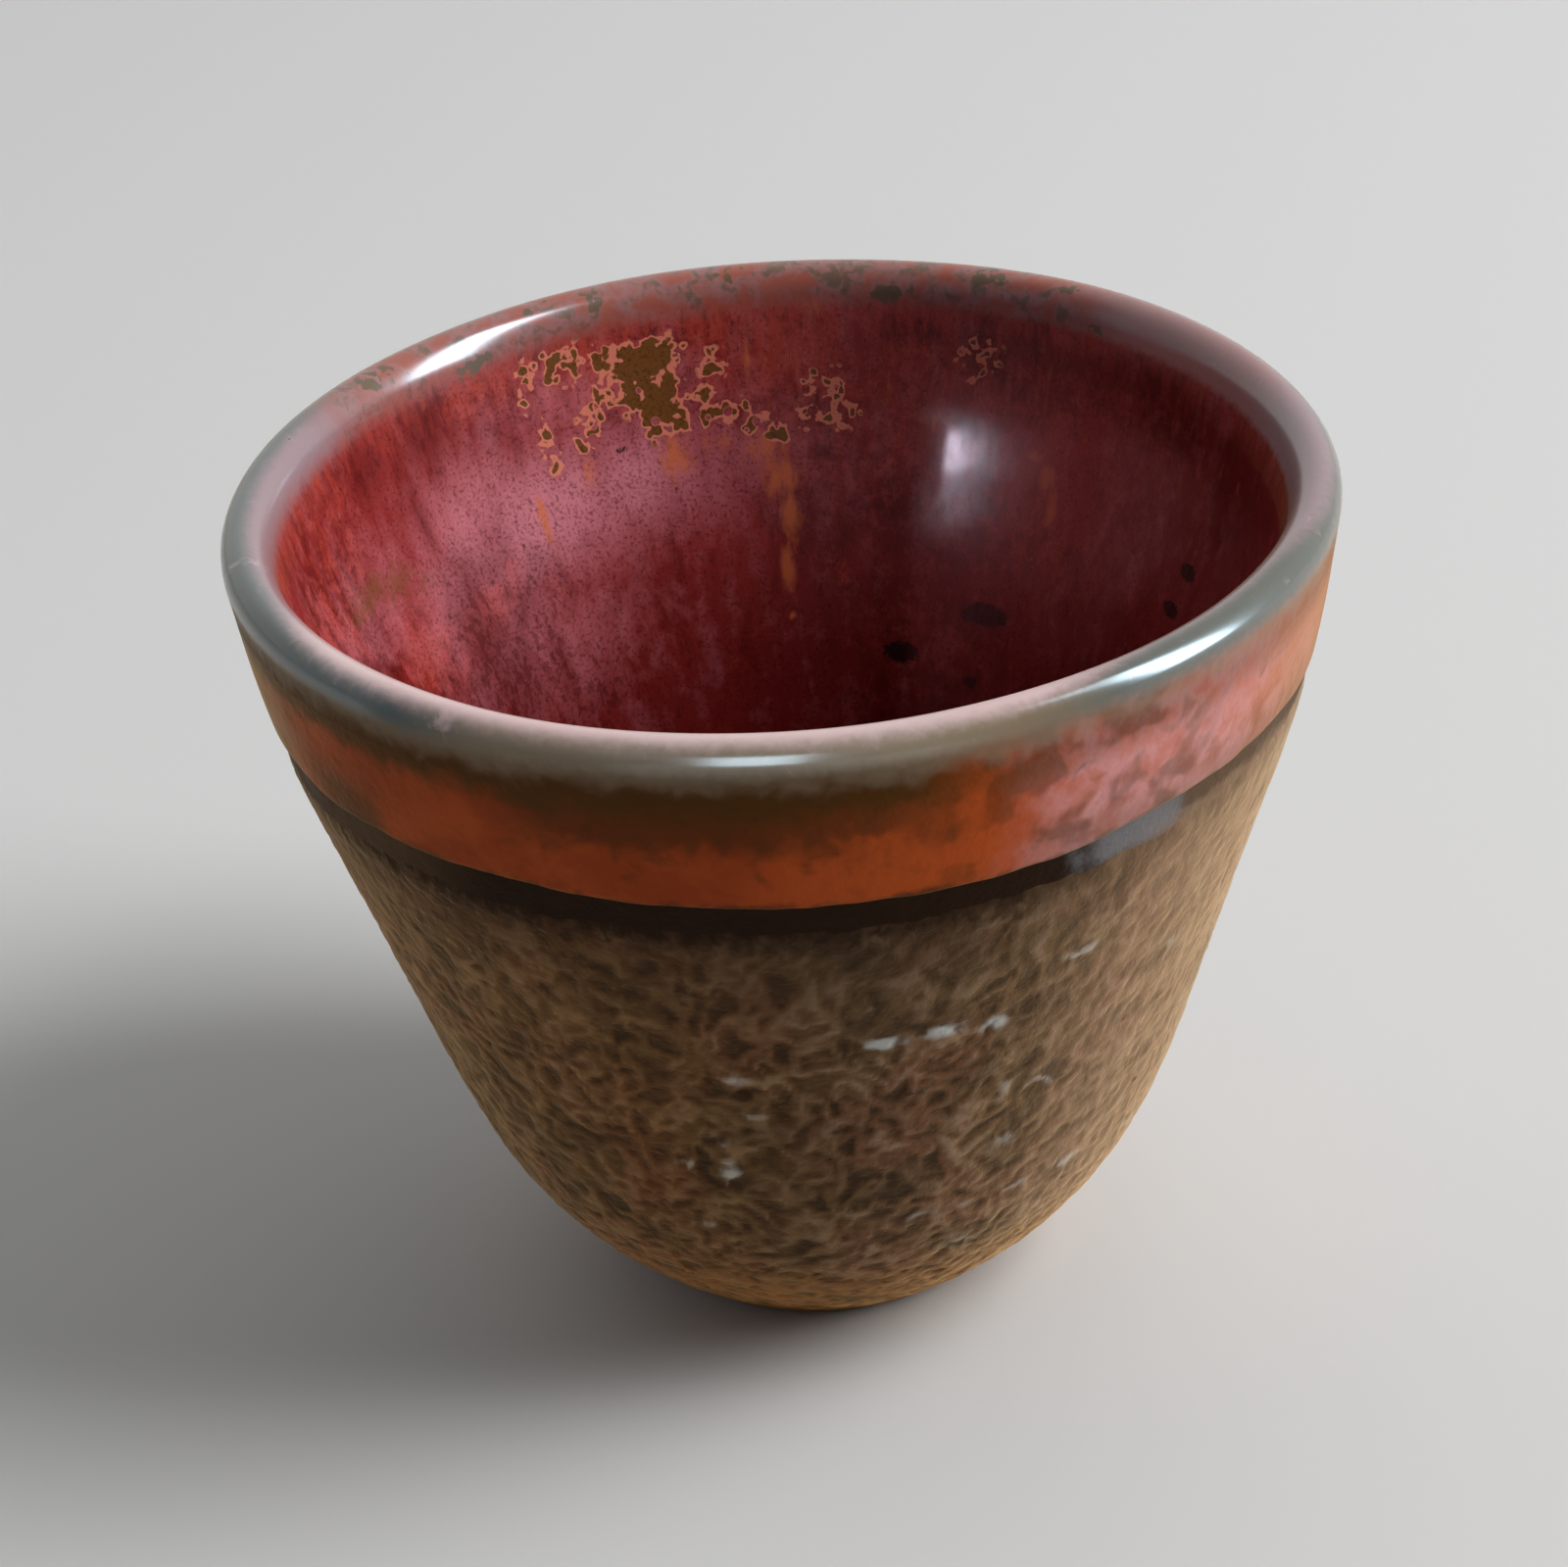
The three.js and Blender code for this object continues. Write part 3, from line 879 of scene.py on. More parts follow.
def coloured(net, shader, colour, rough):
    net.put(shader.inputs["Base Color"], colour)
    net.put(shader.inputs["Roughness"], rough)


def bumped(net, shader, height, distance):
    """Feeds a height in [0, 1] to the shader's normal, distance metres tall."""
    made = net.node("ShaderNodeBump", {"Height": height, "Distance": distance})
    net.put(shader.inputs["Normal"], made.outputs[0])


def sheened(shader, weight, tint=GLAZE_EDGE):
    """A dry sheen towards the edges of the form."""
    shader.inputs["Sheen Weight"].default_value = weight
    shader.inputs["Sheen Roughness"].default_value = SHEEN_ROUGHNESS
    shader.inputs["Sheen Tint"].default_value = (*tint, 1)


def filmed(net, shader, film, blur, bend=FILM_BEND):
    """A glassy film over the glaze where film is 1."""
    net.put(shader.inputs["Coat Weight"], film)
    shader.inputs["Coat IOR"].default_value = bend
    shader.inputs["Coat Roughness"].default_value = blur


def clay_finish():
    s = bpy.context.scene.bowl_clay
    material, net, shader = new_material("fired_clay")
    spot = shared(net, "place_on_bowl")["Millimetres"]
    relief = attribute(net, "relief")
    broad = net.noise(spot, 0.12, 3, 0.6)
    base = net.mix(net.remap(broad, 0.4, 0.75), s.toasted, s.pale)
    base = net.mix(net.remap(relief, 0.6, 0.15, 0, 0.7), base, s.dark)
    grain = net.noise(spot, 3.5, 3, 0.6)
    base = net.mix(net.remap(grain, 0.38, 0.22, 0, 0.6), base, s.dark)
    coloured(net, shader, base, net.remap(grain, 0.2, 0.8, 0.7, 0.9))
    sheened(shader, 0.5, CLAY_EDGE)
    bumped(net, shader, grain, 0.08 * MM)
    return material


def slip_finish():
    s = bpy.context.scene.bowl_slip
    clay, line = bpy.context.scene.bowl_clay, bpy.context.scene.bowl_line
    material, net, shader = new_material("rough_slip")
    place = shared(net, "place_on_bowl")
    spot, height, angle = place["Millimetres"], place["Height"], place["Angle"]
    relief, pit = attribute(net, "relief"), attribute(net, "pit")
    fine = net.noise(spot, 0.9, 2, 0.45, 0.3)
    off = net.centred(fine)
    rough = net.times_plus(off, 0.55, relief)

    tint = net.noise(spot, 0.075, 2, 0.5)
    body = net.mix(net.remap(tint, 0.42, 0.62), s.body, s.warm)
    # Darker in the wrinkles' hollows and paler on their crests: partly the slip's own tone, partly painted
    # shade and painted highlight
    base = net.mix(net.remap(rough, 0, 0.58), s.hollow, body)
    base = net.mix(net.remap(rough, 0.48, 1.1, 0, 0.85), base, s.crest)
    # Painted shade: the slip's front is darkened
    base = net.mix(facing(net, angle, -103, 9, 12), base, SLIP_FRONT_SHADE, "MULTIPLY")
    # Painted light: lighter on the bowl's right, where the key lamp falls, and a painted sheen at its right
    # edge
    base = net.mix(facing(net, angle, -16, 13, 42), base, net.mix(0.4, base, s.light))
    base = net.mix(facing(net, angle, -6, 8, 20), base, net.mix(0.3, base, s.pale))
    base = net.mix(net.remap(net.noise(spot, 0.14, 2), 0.46, 0.34, 0, 0.4), base, s.hollow)

    foot = net.times_plus(off, 12, height)
    toasted = net.mix(net.remap(rough, 0.15, 0.6), clay.dark, clay.toasted)
    base = net.mix(net.remap(foot, 19, 8, 0, 0.9), base, toasted)
    marked = net.most(net.times(pit, 0.5), attribute(net, "hole"))
    base = net.mix(net.remap(net.plus(marked, off), 0.35, 0.75, 0, 0.8), base, line.brown)
    # Pale dashes, partly ash and partly painted glints, strongest on the crests
    ash = net.times(attribute(net, "ash"), net.remap(rough, 0.15, 0.75, 0.4, 1))
    base = net.mix(net.remap(ash, 0.2, 0.9, 0, 0.7), base, s.ash)

    near_line = net.times_plus(off, 7, height)
    right = facing(net, angle, -14, 36, 26)
    darker = net.times(net.remap(near_line, 51, 66), net.between(right, 0.65, 0.1))
    base = net.mix(darker, base, s.hollow)
    stained = net.times(net.remap(near_line, 62.5, 66.5), net.between(right, 0.95, 0.25))
    base = net.mix(stained, base, line.brown)
    base = net.mix(facing(net, angle, -150, 28, 34), base, SLIP_LEFT, "MULTIPLY")
    coloured(net, shader, base, net.remap(fine, 0.25, 0.75, 0.6, 0.8))
    sheened(shader, 0.65, SLIP_EDGE)
    grit = net.noise(spot, 3.5, 2, 0.6)
    bumped(net, shader, net.times_plus(fine, 0.8, net.times(grit, 0.15)), 0.22 * MM)
    return material


def line_finish():
    s, slip = bpy.context.scene.bowl_line, bpy.context.scene.bowl_slip
    material, net, shader = new_material("iron_wash")
    place = shared(net, "place_on_bowl")
    spot, angle = place["Millimetres"], place["Angle"]
    cloud = net.noise(spot, 0.4, 3, 0.6)
    grain = net.noise(spot, 2.2, 2, 0.6)
    off = net.centred(cloud)
    edge = net.times_plus(off, 3, place["Height"])
    right = facing(net, angle, -12, 34, 16)
    thin = net.times(right, net.remap(edge, 68.6, 67.2, 0.45, 1))
    base = net.mix(thin, s.brown, net.mix(0.6, slip.body, slip.crest))
    left = facing(net, angle, -160, 18, 20)
    base = net.mix(net.times(left, 0.6), base, slip.body)
    # A painted reflection: a grey patch on the iron wash at the front right
    patch = facing(net, net.times_plus(off, 10, angle), -54.5, 0.5, 10)
    shine = net.times(net.times(patch, patch), net.remap(edge, 65.6, 67.6, 0.15, 0.8))
    base = net.mix(shine, base, s.grey)
    coloured(net, shader, base, net.remap(cloud, 0.3, 0.7, 0.5, 0.65))
    bumped(net, shader, net.times_plus(grain, 0.4, cloud), 0.2 * MM)
    return material


def glaze_colour_outside(net, place):
    """The band's colour, which fades to the brown under the lip, and its mottle."""
    band, lip = bpy.context.scene.bowl_band, bpy.context.scene.bowl_lip
    spot, height, angle = place["Millimetres"], place["Height"], place["Angle"]
    cloud = net.noise(spot, 0.13, 3, 0.55, 0.4)
    mottle = net.noise(spot, 0.34, 3, 0.5, 0.3)
    off = net.centred(mottle)

    base = net.mix(net.remap(cloud, 0.38, 0.66, 0, 0.5), band.brick, band.orange)
    base = net.mix(net.times(facing(net, angle, -74, 12, 12), 0.8), base, band.orange)
    # Salmon at the front right: partly the glaze's own pale colour, partly a painted reflection of the key
    # lamp
    pale = net.mix(net.remap(mottle, 0.35, 0.62, 0.5, 1), band.orange, band.salmon)
    base = net.mix(facing(net, net.times_plus(off, 8, angle), -43, 16, 14), base, pale)
    # Painted sheen on the band's right edge
    base = net.mix(net.times(facing(net, angle, -10, 16, 18), 0.5), base, band.tan)
    # Painted sheen: a pale tan over the band's far left edge, where it turns away
    base = net.mix(net.times(facing(net, angle, -178, 16, 14), 0.65), base, BAND_FAR_LEFT_SHEEN)

    high = net.remap(net.times_plus(off, 9, height), 73, 77)
    middle = facing(net, angle, -98, 12, 14)
    behind = facing(net, angle, 95, 25, 20)
    upper = net.times(high, net.most(middle, behind))
    base = net.mix(net.times(upper, 0.8), base, band.brown)
    blot = net.remap(net.noise(spot, 0.24, 2, 0.5, 0.3), 0.47, 0.62, 0, 0.55)
    base = net.mix(net.times(facing(net, angle, -62, 8, 12), blot), base, band.brown)
    base = net.mix(net.remap(mottle, 0.54, 0.76, 0, 0.4), base, band.brown)
    low = net.remap(net.times_plus(off, 10, height), 75.5, 71)
    low = net.times(low, facing(net, angle, -44, 16, 12))
    base = net.mix(net.times(low, 0.4), base, band.brown)
    corner = net.times(facing(net, angle, -142, 2.5, 5), net.remap(height, 76, 72))
    base = net.mix(net.times(corner, 0.8), base, band.brown)

    edge = net.times_plus(off, 4, height)
    right = facing(net, angle, -40, 30, 12)
    below = net.times(net.remap(edge, 77.3, 80.3), net.between(right, 1, 0.4))
    base = net.mix(below, base, lip.under)
    return net.mix(net.remap(edge, 80.6, 83.4, 0, 0.5), base, lip.khaki), mottle


def band_finish():
    line = bpy.context.scene.bowl_line
    material, net, shader = new_material("band_glaze")
    place = shared(net, "place_on_bowl")
    across = attribute(net, "across")
    base, mottle = glaze_colour_outside(net, place)
    start = net.times_plus(net.centred(mottle), 0.25, across)
    base = net.mix(net.remap(start, 0.1, 0, 0, 0.8), base, line.brown)
    coloured(net, shader, base, net.remap(mottle, 0.3, 0.7, 0.4, 0.5))
    shine = net.times(facing(net, place["Angle"], -54, 6, 12), net.remap(across, 0.98, 0.7, 0, 0.45))
    filmed(net, shader, shine, 0.3, BAND_BEND)
    sheened(shader, 0.35)
    bumped(net, shader, net.noise(place["Millimetres"], 0.9, 3, 0.5), 0.1 * MM)
    return material


def lip_film(net, angle, across):
    """Where the lip is glassy: on its rounded top, apart from a few dull stretches."""
    top = net.times(net.remap(across, 0.14, 0.24), net.remap(across, 0.95, 0.75))
    inner_side, outer_side = net.remap(across, 0.48, 0.6), net.remap(across, 0.5, 0.4)
    dull = net.times(facing(net, angle, 74, 26, 8), inner_side)
    dull = net.most(dull, net.times(facing(net, angle, -120, 10, 6), outer_side))
    dull = net.most(dull, net.times(facing(net, angle, -67, 5, 6), 0.75))
    return net.times(top, net.minus(1, dull))


def lip_finish():
    s, well = bpy.context.scene.bowl_lip, bpy.context.scene.bowl_well
    material, net, shader = new_material("lip_glaze")
    place = shared(net, "place_on_bowl")
    spot, angle = place["Millimetres"], place["Angle"]
    across = attribute(net, "across")
    outside, _ = glaze_colour_outside(net, place)
    fine = net.noise(spot, 0.8, 3, 0.6, 0.5)
    soft = net.noise(spot, 0.32, 3, 0.55, 0.4)
    off = net.centred(fine)
    turn = net.times_plus(off, 0.08, across)
    front = facing(net, angle, -104, 34, 20)
    crisp = facing(net, angle, 20, 34, 20)
    behind = facing(net, angle, 100, 46, 16)

    outer = net.mix(facing(net, angle, -90, 28, 14), s.teal, s.khaki)
    outer = net.mix(facing(net, angle, -30, 26, 14), outer, net.mix(0.15, s.teal, s.khaki))
    # Painted shade darkens the lip's outer side at the front right, where the key lamp falls
    outer = net.mix(facing(net, angle, -40, 26, 14), outer, LIP_FRONT_RIGHT_SHADE, "MULTIPLY")
    thin = net.plus(turn, net.between(front, net.between(crisp, -0.1, 0.02), 0.02))
    top = net.mix(net.remap(thin, 0.3, 0.45), outer, net.mix(front, s.lavender, s.blush))
    rose = net.mix(0.4, s.lavender, s.brick)
    top = net.mix(net.times(facing(net, angle, 36, 16, 16), net.remap(thin, 0.3, 0.5)), top, rose)
    red = net.mix(net.remap(soft, 0.36, 0.6, 0.1, 0.8), s.brick, rose)
    top = net.mix(net.times(behind, 0.95), top, red)

    # Painted highlights: pale spots on top of the lip
    glinted = net.times_plus(off, 1.6, attribute(net, "spot"))
    top = net.mix(net.remap(glinted, 0.2, 0.9, 0, 0.8), top, s.blush)
    broken = shared(net, "broken_glaze", Nearness=attribute(net, "lip_patch"), Grain=1)
    patch = net.times(broken["Patch"], 0.9)
    mottled = net.remap(net.times_plus(off, 0.9, soft), 0.48, 0.72, 0, 0.75)
    top = net.mix(net.most(patch, net.times(mottled, behind)), top, s.olive)
    base = net.mix(net.remap(turn, 0.14, 0.26), outside, top)
    inner, _ = well_colour(net, place, well)
    inner = net.mix(patch, inner, s.olive)
    into = net.remap(turn, net.between(crisp, 0.66, 0.74), net.between(crisp, 0.86, 0.82))
    coloured(net, shader, net.mix(into, base, inner), net.remap(fine, 0.3, 0.7, 0.4, 0.5))

    filmed(net, shader, lip_film(net, angle, across), 0.19)
    sheened(shader, 0.15)
    run_off = net.noise(spot, 0.9, 3, 0.5)
    even = net.times(net.noise(spot, 0.5, 2, 0.5), 0.6)
    bumped(net, shader, net.between(net.remap(across, 0.04, 0.18), run_off, even), 0.1 * MM)
    return material


def well_film(net, place):
    """Where the well is glassy: on its right, apart from its bottom and what lies near the rim."""
    streaks = shared(net, "streaks_down_wall", Width=0.7, Length=9, Seed=2)
    below_rim = net.remap(place["Height"], 77, 71)
    right = net.times(facing(net, place["Angle"], 22, 45, 4), below_rim)
    right = net.times(right, net.remap(place["Height"], 20, 40))
    return net.times(right, net.remap(streaks["Broad"], 0.34, 0.6, 0.65, 1))


def well_colour(net, place, s):
    """The well's colour and the outlines of its broken patches."""
    spot, height, angle = place["Millimetres"], place["Height"], place["Angle"]
    streaks = shared(net, "streaks_down_wall", Width=2.6, Length=24)
    threads = shared(net, "streaks_down_wall", Width=1.1, Length=8, Seed=5)
    fine = shared(net, "streaks_down_wall", Width=0.9, Length=6, Seed=3)
    speckle = shared(net, "streaks_down_wall", Width=0.75, Length=1.7, Seed=9)["Broad"]
    cloud = net.noise(spot, 0.07, 3, 0.55)
    mottle = net.noise(spot, 0.55, 4, 0.62, 0.3)
    fleck = net.noise(spot, 2.6, 3, 0.7)
    uneven, off, thread = net.centred(mottle), net.centred(fleck), net.centred(threads["Broad"])

    base = net.mix(net.remap(cloud, 0.42, 0.64), s.wine, s.thick_glaze_and_shade)
    base = net.mix(net.remap(streaks["Broad"], 0.46, 0.3, 0, 0.55), base, s.thick_glaze_and_shade)
    lit = net.times_plus(thread, 1.2, attribute(net, "red"))
    lit = net.times_plus(net.centred(cloud), 1.2, lit)
    lit = net.times_plus(uneven, 1.4, lit)
    base = net.mix(net.remap(lit, 0.2, 0.95, 0, 0.9), base, s.brick)
    glow = net.times(attribute(net, "red"), net.remap(threads["Fine"], 0.56, 0.72, 0, 0.35))
    base = net.mix(glow, base, s.salmon)
    high = net.remap(net.times_plus(thread, 16, height), 78.5, 83)
    base = net.mix(net.times(high, 0.8), base, s.brick)
    base = net.mix(net.remap(height, 60, 44, 0, 0.6), base, s.thick_glaze_and_shade)
    # Painted shade: the well's right wall, which the lip and wall keep from the light, is darkened
    base = net.mix(net.times(facing(net, angle, 14, 14, 24), 0.5), base, s.thick_glaze_and_shade)

    # Mauve: partly bloom, partly a painted reflection of the key lamp
    bloom_and_reflection = net.times_plus(uneven, 0.45, attribute(net, "bloom_and_reflection"))
    bloom_and_reflection = net.times_plus(net.centred(streaks["Broad"]), 0.7, bloom_and_reflection)
    bloom_and_reflection = net.remap(bloom_and_reflection, 0, 0.95, smooth=False)
    base = net.mix(net.times(bloom_and_reflection, net.remap(fleck, 0.34, 0.58, 0.62, 1)), base, s.mauve)
    base = net.mix(net.remap(fleck, 0.48, 0.32, 0, 0.5), base, s.dark)
    thick_glaze_and_shade = net.times_plus(uneven, 0.9, attribute(net, "thick_glaze_and_shade"))
    base = net.mix(net.remap(thick_glaze_and_shade, 0.2, 1.1, 0, 0.6), base, s.thick_glaze_and_shade)
    low = net.remap(height, 72, 50, 0.28, 0.36)
    below = net.minus(net.times_plus(thick_glaze_and_shade, 0.2, low), speckle)
    base = net.mix(net.remap(below, -0.03, 0.08, 0, 0.5), base, net.mix(0.4, s.thick_glaze_and_shade, s.dark))

    smear = net.times_plus(net.centred(speckle), 2, attribute(net, "smear"))
    base = net.mix(net.remap(smear, 0.3, 1, 0, 0.55), base, s.olive)
    runs = net.times_plus(net.centred(fine["Broad"]), 1, attribute(net, "run"))
    base = net.mix(net.remap(runs, 0.25, 0.85, 0, 0.75), base, s.run)
    darks = net.times_plus(off, 1, attribute(net, "dark"))
    base = net.mix(net.remap(darks, 0.35, 0.55, 0, 0.95), base, s.dark)
    broken = shared(net, "broken_glaze", Nearness=attribute(net, "patch"))
    olive = net.mix(net.remap(fleck, 0.5, 0.36, 0, 0.4), s.olive, s.dark)
    base = net.mix(net.times(broken["Patch"], 0.95), base, olive)
    return net.mix(net.times(broken["Outline"], 0.95), base, s.salmon), broken["Outline"]


def well_finish():
    material, net, shader = new_material("red_glaze")
    place = shared(net, "place_on_bowl")
    base, outlined = well_colour(net, place, bpy.context.scene.bowl_well)
    fleck = net.noise(place["Millimetres"], 2.6, 3, 0.7)
    coloured(net, shader, base, net.remap(fleck, 0.3, 0.7, 0.38, 0.52))
    filmed(net, shader, well_film(net, place), 0.1)
    streaks = shared(net, "streaks_down_wall", Width=0.9, Length=6, Seed=3)
    height = net.times_plus(outlined, 0.4, net.times(streaks["Broad"], 0.6))
    bumped(net, shader, height, 0.05 * MM)
    return material


# Operators, one for each piece

class BOWL_OT_clay_body(bpy.types.Operator):
    """The thrown clay: bare at the foot, and a step lower under every coat"""

    bl_idname = "tea_bowl.clay_body"
    bl_label = "Clay Body"

    def execute(self, context):
        form, slip = context.scene.bowl_form, context.scene.bowl_slip
        bare = outline.outside_at(SLIP_LOW)
        base = steps_between(0, bare, 0.4 * MM)
        under = steps_between(bare + 0.02 * MM, outline.length, 2.5 * MM)
        s = np.concatenate([base, under])
        depth = np.concatenate([0 * base, np.full(len(under), form.coat + COAT_GAP)])
        off_base = smoothstep(np.interp(s, outline.s, outline.z), 0.3 * MM, 2.0 * MM)
        cover = off_base * (s <= bare)
        line = outline_object("clay_line", s, depth, cover, 0 * s, s / outline.length)
        turned_piece(
            "clay_body_thrown", line, "clay_body", "fired_clay", clay_finish(),
            segments=form.rough_segments, relief=slip.relief, wrinkle=slip.wrinkle, seed=slip.seed,
        )
        return {"FINISHED"}


class BOWL_OT_slip_coat(bpy.types.Operator):
    """The wrinkled slip, which thins out under the iron line"""

    bl_idname = "tea_bowl.slip_coat"
    bl_label = "Slip Coat"

    def execute(self, context):
        form, slip, band = context.scene.bowl_form, context.scene.bowl_slip, context.scene.bowl_band
        start = outline.outside_at(SLIP_LOW)
        thin, end = outline.outside_at(LINE_LOW - 1.2 * MM), outline.outside_at(LINE_LOW + 2.2 * MM)
        calm, still = outline.outside_at(42 * MM), outline.outside_at(45 * MM)
        sink = 0.55 * MM
        line = coat_outline(
            "slip_line", start, end, 0.5 * MM,
            lambda s: sink * smoothstep(s, thin, end),
            form.coat,
            cover=lambda s: 1 - 0.5 * smoothstep(s, calm, end),
            pull=lambda s: smoothstep(s, still, thin),
        )
        piece = turned_piece(
            "slip_coat_wrinkled", line, "textured_slip_coat", "rough_slip", slip_finish(), sharp=False,
            segments=form.rough_segments, relief=slip.relief, wrinkle=slip.wrinkle, seed=slip.seed,
            edge_wave=band.wave, edge_rise=band.rise, edge_seed=7.0,
        )
        store_marks(piece, "ash", ASH_AND_GLINT_DASHES)
        store_marks(piece, "hole", SLIP_PITS)
        return {"FINISHED"}


class BOWL_OT_iron_line(bpy.types.Operator):
    """The dark line between the slip and the glaze band"""

    bl_idname = "tea_bowl.iron_line"
    bl_label = "Iron Line"

    def execute(self, context):
        form, band = context.scene.bowl_form, context.scene.bowl_band
        covered, sink, roll, depth = 2.5 * MM, 0.22 * MM, 2 * MM, 0.4 * MM
        start, end = outline.outside_at(LINE_LOW - covered), outline.outside_at(BAND_LOW + covered)
        line = coat_outline(
            "iron_line_line", start, end, 0.4 * MM,
            lambda s: sink + rolled(s, start, end, roll, depth),
            form.coat,
            pull=lambda s: 0 * s + 1,
        )
        turned_piece("iron_line_coat", line, "iron_line", "iron_wash", line_finish(), edge_rise=band.rise)
        return {"FINISHED"}


class BOWL_OT_glaze_band(bpy.types.Operator):
    """The orange red band, with a rolled lower edge that wanders"""

    bl_idname = "tea_bowl.glaze_band"
    bl_label = "Glaze Band"

    def execute(self, context):
        form, band = context.scene.bowl_form, context.scene.bowl_band
        below_edge, roll, depth = 1.1 * MM, 0.9 * MM, 0.5 * MM
        start, end = outline.outside_at(BAND_LOW - below_edge), outline.outside_at(BAND_TOP)
        line = coat_outline(
            "band_line", start, end, 0.3 * MM,
            lambda s: rolled(s, start, end + roll, roll, depth),
            form.coat,
            pull=lambda s: 1 - smoothstep(s, start + roll, end),
        )
        turned_piece(
            "glaze_band_coat", line, "outer_glaze_band", "band_glaze", band_finish(),
            edge_wave=band.wave, edge_rise=band.rise, edge_seed=2.0,
        )
        return {"FINISHED"}


class BOWL_OT_lip_glaze(bpy.types.Operator):
    """The glaze over the rounded lip"""

    bl_idname = "tea_bowl.lip_glaze"
    bl_label = "Lip Glaze"

    def execute(self, context):
        form = context.scene.bowl_form
        start, end = outline.outside_at(BAND_TOP), outline.well_at(LINER_TOP)
        line = coat_outline("lip_line", start, end, 0.25 * MM, lambda s: 0 * s, form.coat)
        piece = turned_piece("lip_glaze_coat", line, "rim_glaze", "lip_glaze", lip_finish())
        store_marks(piece, "lip_patch", LIP_PATCHES, inner_only=True)
        store_marks(piece, "spot", LIP_GLINTS)
        for title, marks in WELL_MARKS.items():
            store_marks(piece, title, marks, inner_only=True)
        return {"FINISHED"}


class BOWL_OT_well_glaze(bpy.types.Operator):
    """The red glaze that lines the well"""

    bl_idname = "tea_bowl.well_glaze"
    bl_label = "Well Glaze"

    def execute(self, context):
        form = context.scene.bowl_form
        start, end = outline.well_at(LINER_TOP), outline.length
        front = steps_between(start, end, 0.65 * MM)
        back = steps_between(end, start, 4 * MM)
        s = np.concatenate([front, back, front[:1]])
        depth = np.concatenate([0 * front, np.full(len(back), form.coat), [0]])
        ringed = smoothstep(s, start, start + 6 * MM) * (1 - smoothstep(s, end - 25 * MM, end))
        cover = np.concatenate([ringed[: len(front)], 0 * back, [0]])
        line = outline_object("well_line", s, depth, cover, 0 * s, (s - start) / (end - start))
        piece = turned_piece(
            "well_glaze_coat", line, "well_glaze_liner", "red_glaze", well_finish(), unevenness=0.12 * MM
        )
        for title, marks in WELL_MARKS.items():
            store_marks(piece, title, marks)
        return {"FINISHED"}


# The stage

CAMERA_DISTANCE = 0.3152
CAMERA_ELEVATION = math.radians(25.53)
CAMERA_ROLL = math.radians(-4.01)
CAMERA_PAN = math.radians(-0.12)
CAMERA_TILT = math.radians(-5.44)
CAMERA_LENS = 76.5
CAMERA_SENSOR = 36
CAMERA_NEAREST = 0.01

FLOOR_REACH = 8.0
FLOOR_ROUGHNESS = 0.9
ROOM_COLOUR = (0.99, 1.0, 0.99)
# How far towards the back, from -1 to 1, the room is all dim and all bright
ROOM_DIM = -0.7
ROOM_BRIGHT = 0.8

# Lamps look at a place somewhat below the rim
AIM = Vector((0, 0, RIM_TOP * 0.7))
WHITE = (1.0, 1.0, 1.0)
COOL = (0.66, 0.87, 1.0)
LILAC = (0.9, 0.8, 1.0)


def add_camera():
    data = bpy.data.cameras.new("camera")
    data.lens = CAMERA_LENS
    data.sensor_width = CAMERA_SENSOR
    data.clip_start = CAMERA_NEAREST
    camera = bpy.data.objects.new("camera", data)
    away = Vector((0, -math.cos(CAMERA_ELEVATION), math.sin(CAMERA_ELEVATION)))
    turn = (
        Matrix.Rotation(math.pi / 2 - CAMERA_ELEVATION, 4, "X")
        @ Matrix.Rotation(CAMERA_ROLL, 4, "Z")
        @ Matrix.Rotation(CAMERA_PAN, 4, "Y")
        @ Matrix.Rotation(CAMERA_TILT, 4, "X")
    )
    place = Vector((0, 0, RIM_TOP)) + away * CAMERA_DISTANCE
    camera.matrix_world = Matrix.Translation(place) @ turn
    bpy.context.scene.collection.objects.link(camera)
    bpy.context.scene.camera = camera


def add_window(name, azimuth, elevation, distance, size, power, tint=WHITE, shine_only=False):
    """A soft window light that looks at the bowl. Azimuth 0 is along +X and -90 is in front."""
    data = bpy.data.lights.new(name, "AREA")
    data.shape = "RECTANGLE"
    data.size, data.size_y = size
    data.energy = power
    data.color = tint
    lamp = bpy.data.objects.new(name, data)
    lamp.visible_diffuse = not shine_only
    lamp.visible_glossy = shine_only
    a, e = math.radians(azimuth), math.radians(elevation)
    away = Vector((math.cos(a) * math.cos(e), math.sin(a) * math.cos(e), math.sin(e)))
    turn = away.to_track_quat("Z", "Y").to_matrix().to_4x4()
    lamp.matrix_world = Matrix.Translation(AIM + away * distance) @ turn
    bpy.context.scene.collection.objects.link(lamp)


def add_floor(colour):
    mesh = bpy.data.meshes.new("floor")
    reach = FLOOR_REACH
    corners = [(-reach, -reach, 0), (reach, -reach, 0), (reach, reach, 0), (-reach, reach, 0)]
    mesh.from_pydata(corners, [], [(0, 1, 2, 3)])
    floor = bpy.data.objects.new("floor", mesh)
    bpy.context.scene.collection.objects.link(floor)
    material, net, shader = new_material("pale_floor", gloss=0)
    coloured(net, shader, colour, FLOOR_ROUGHNESS)
    mesh.materials.append(material)


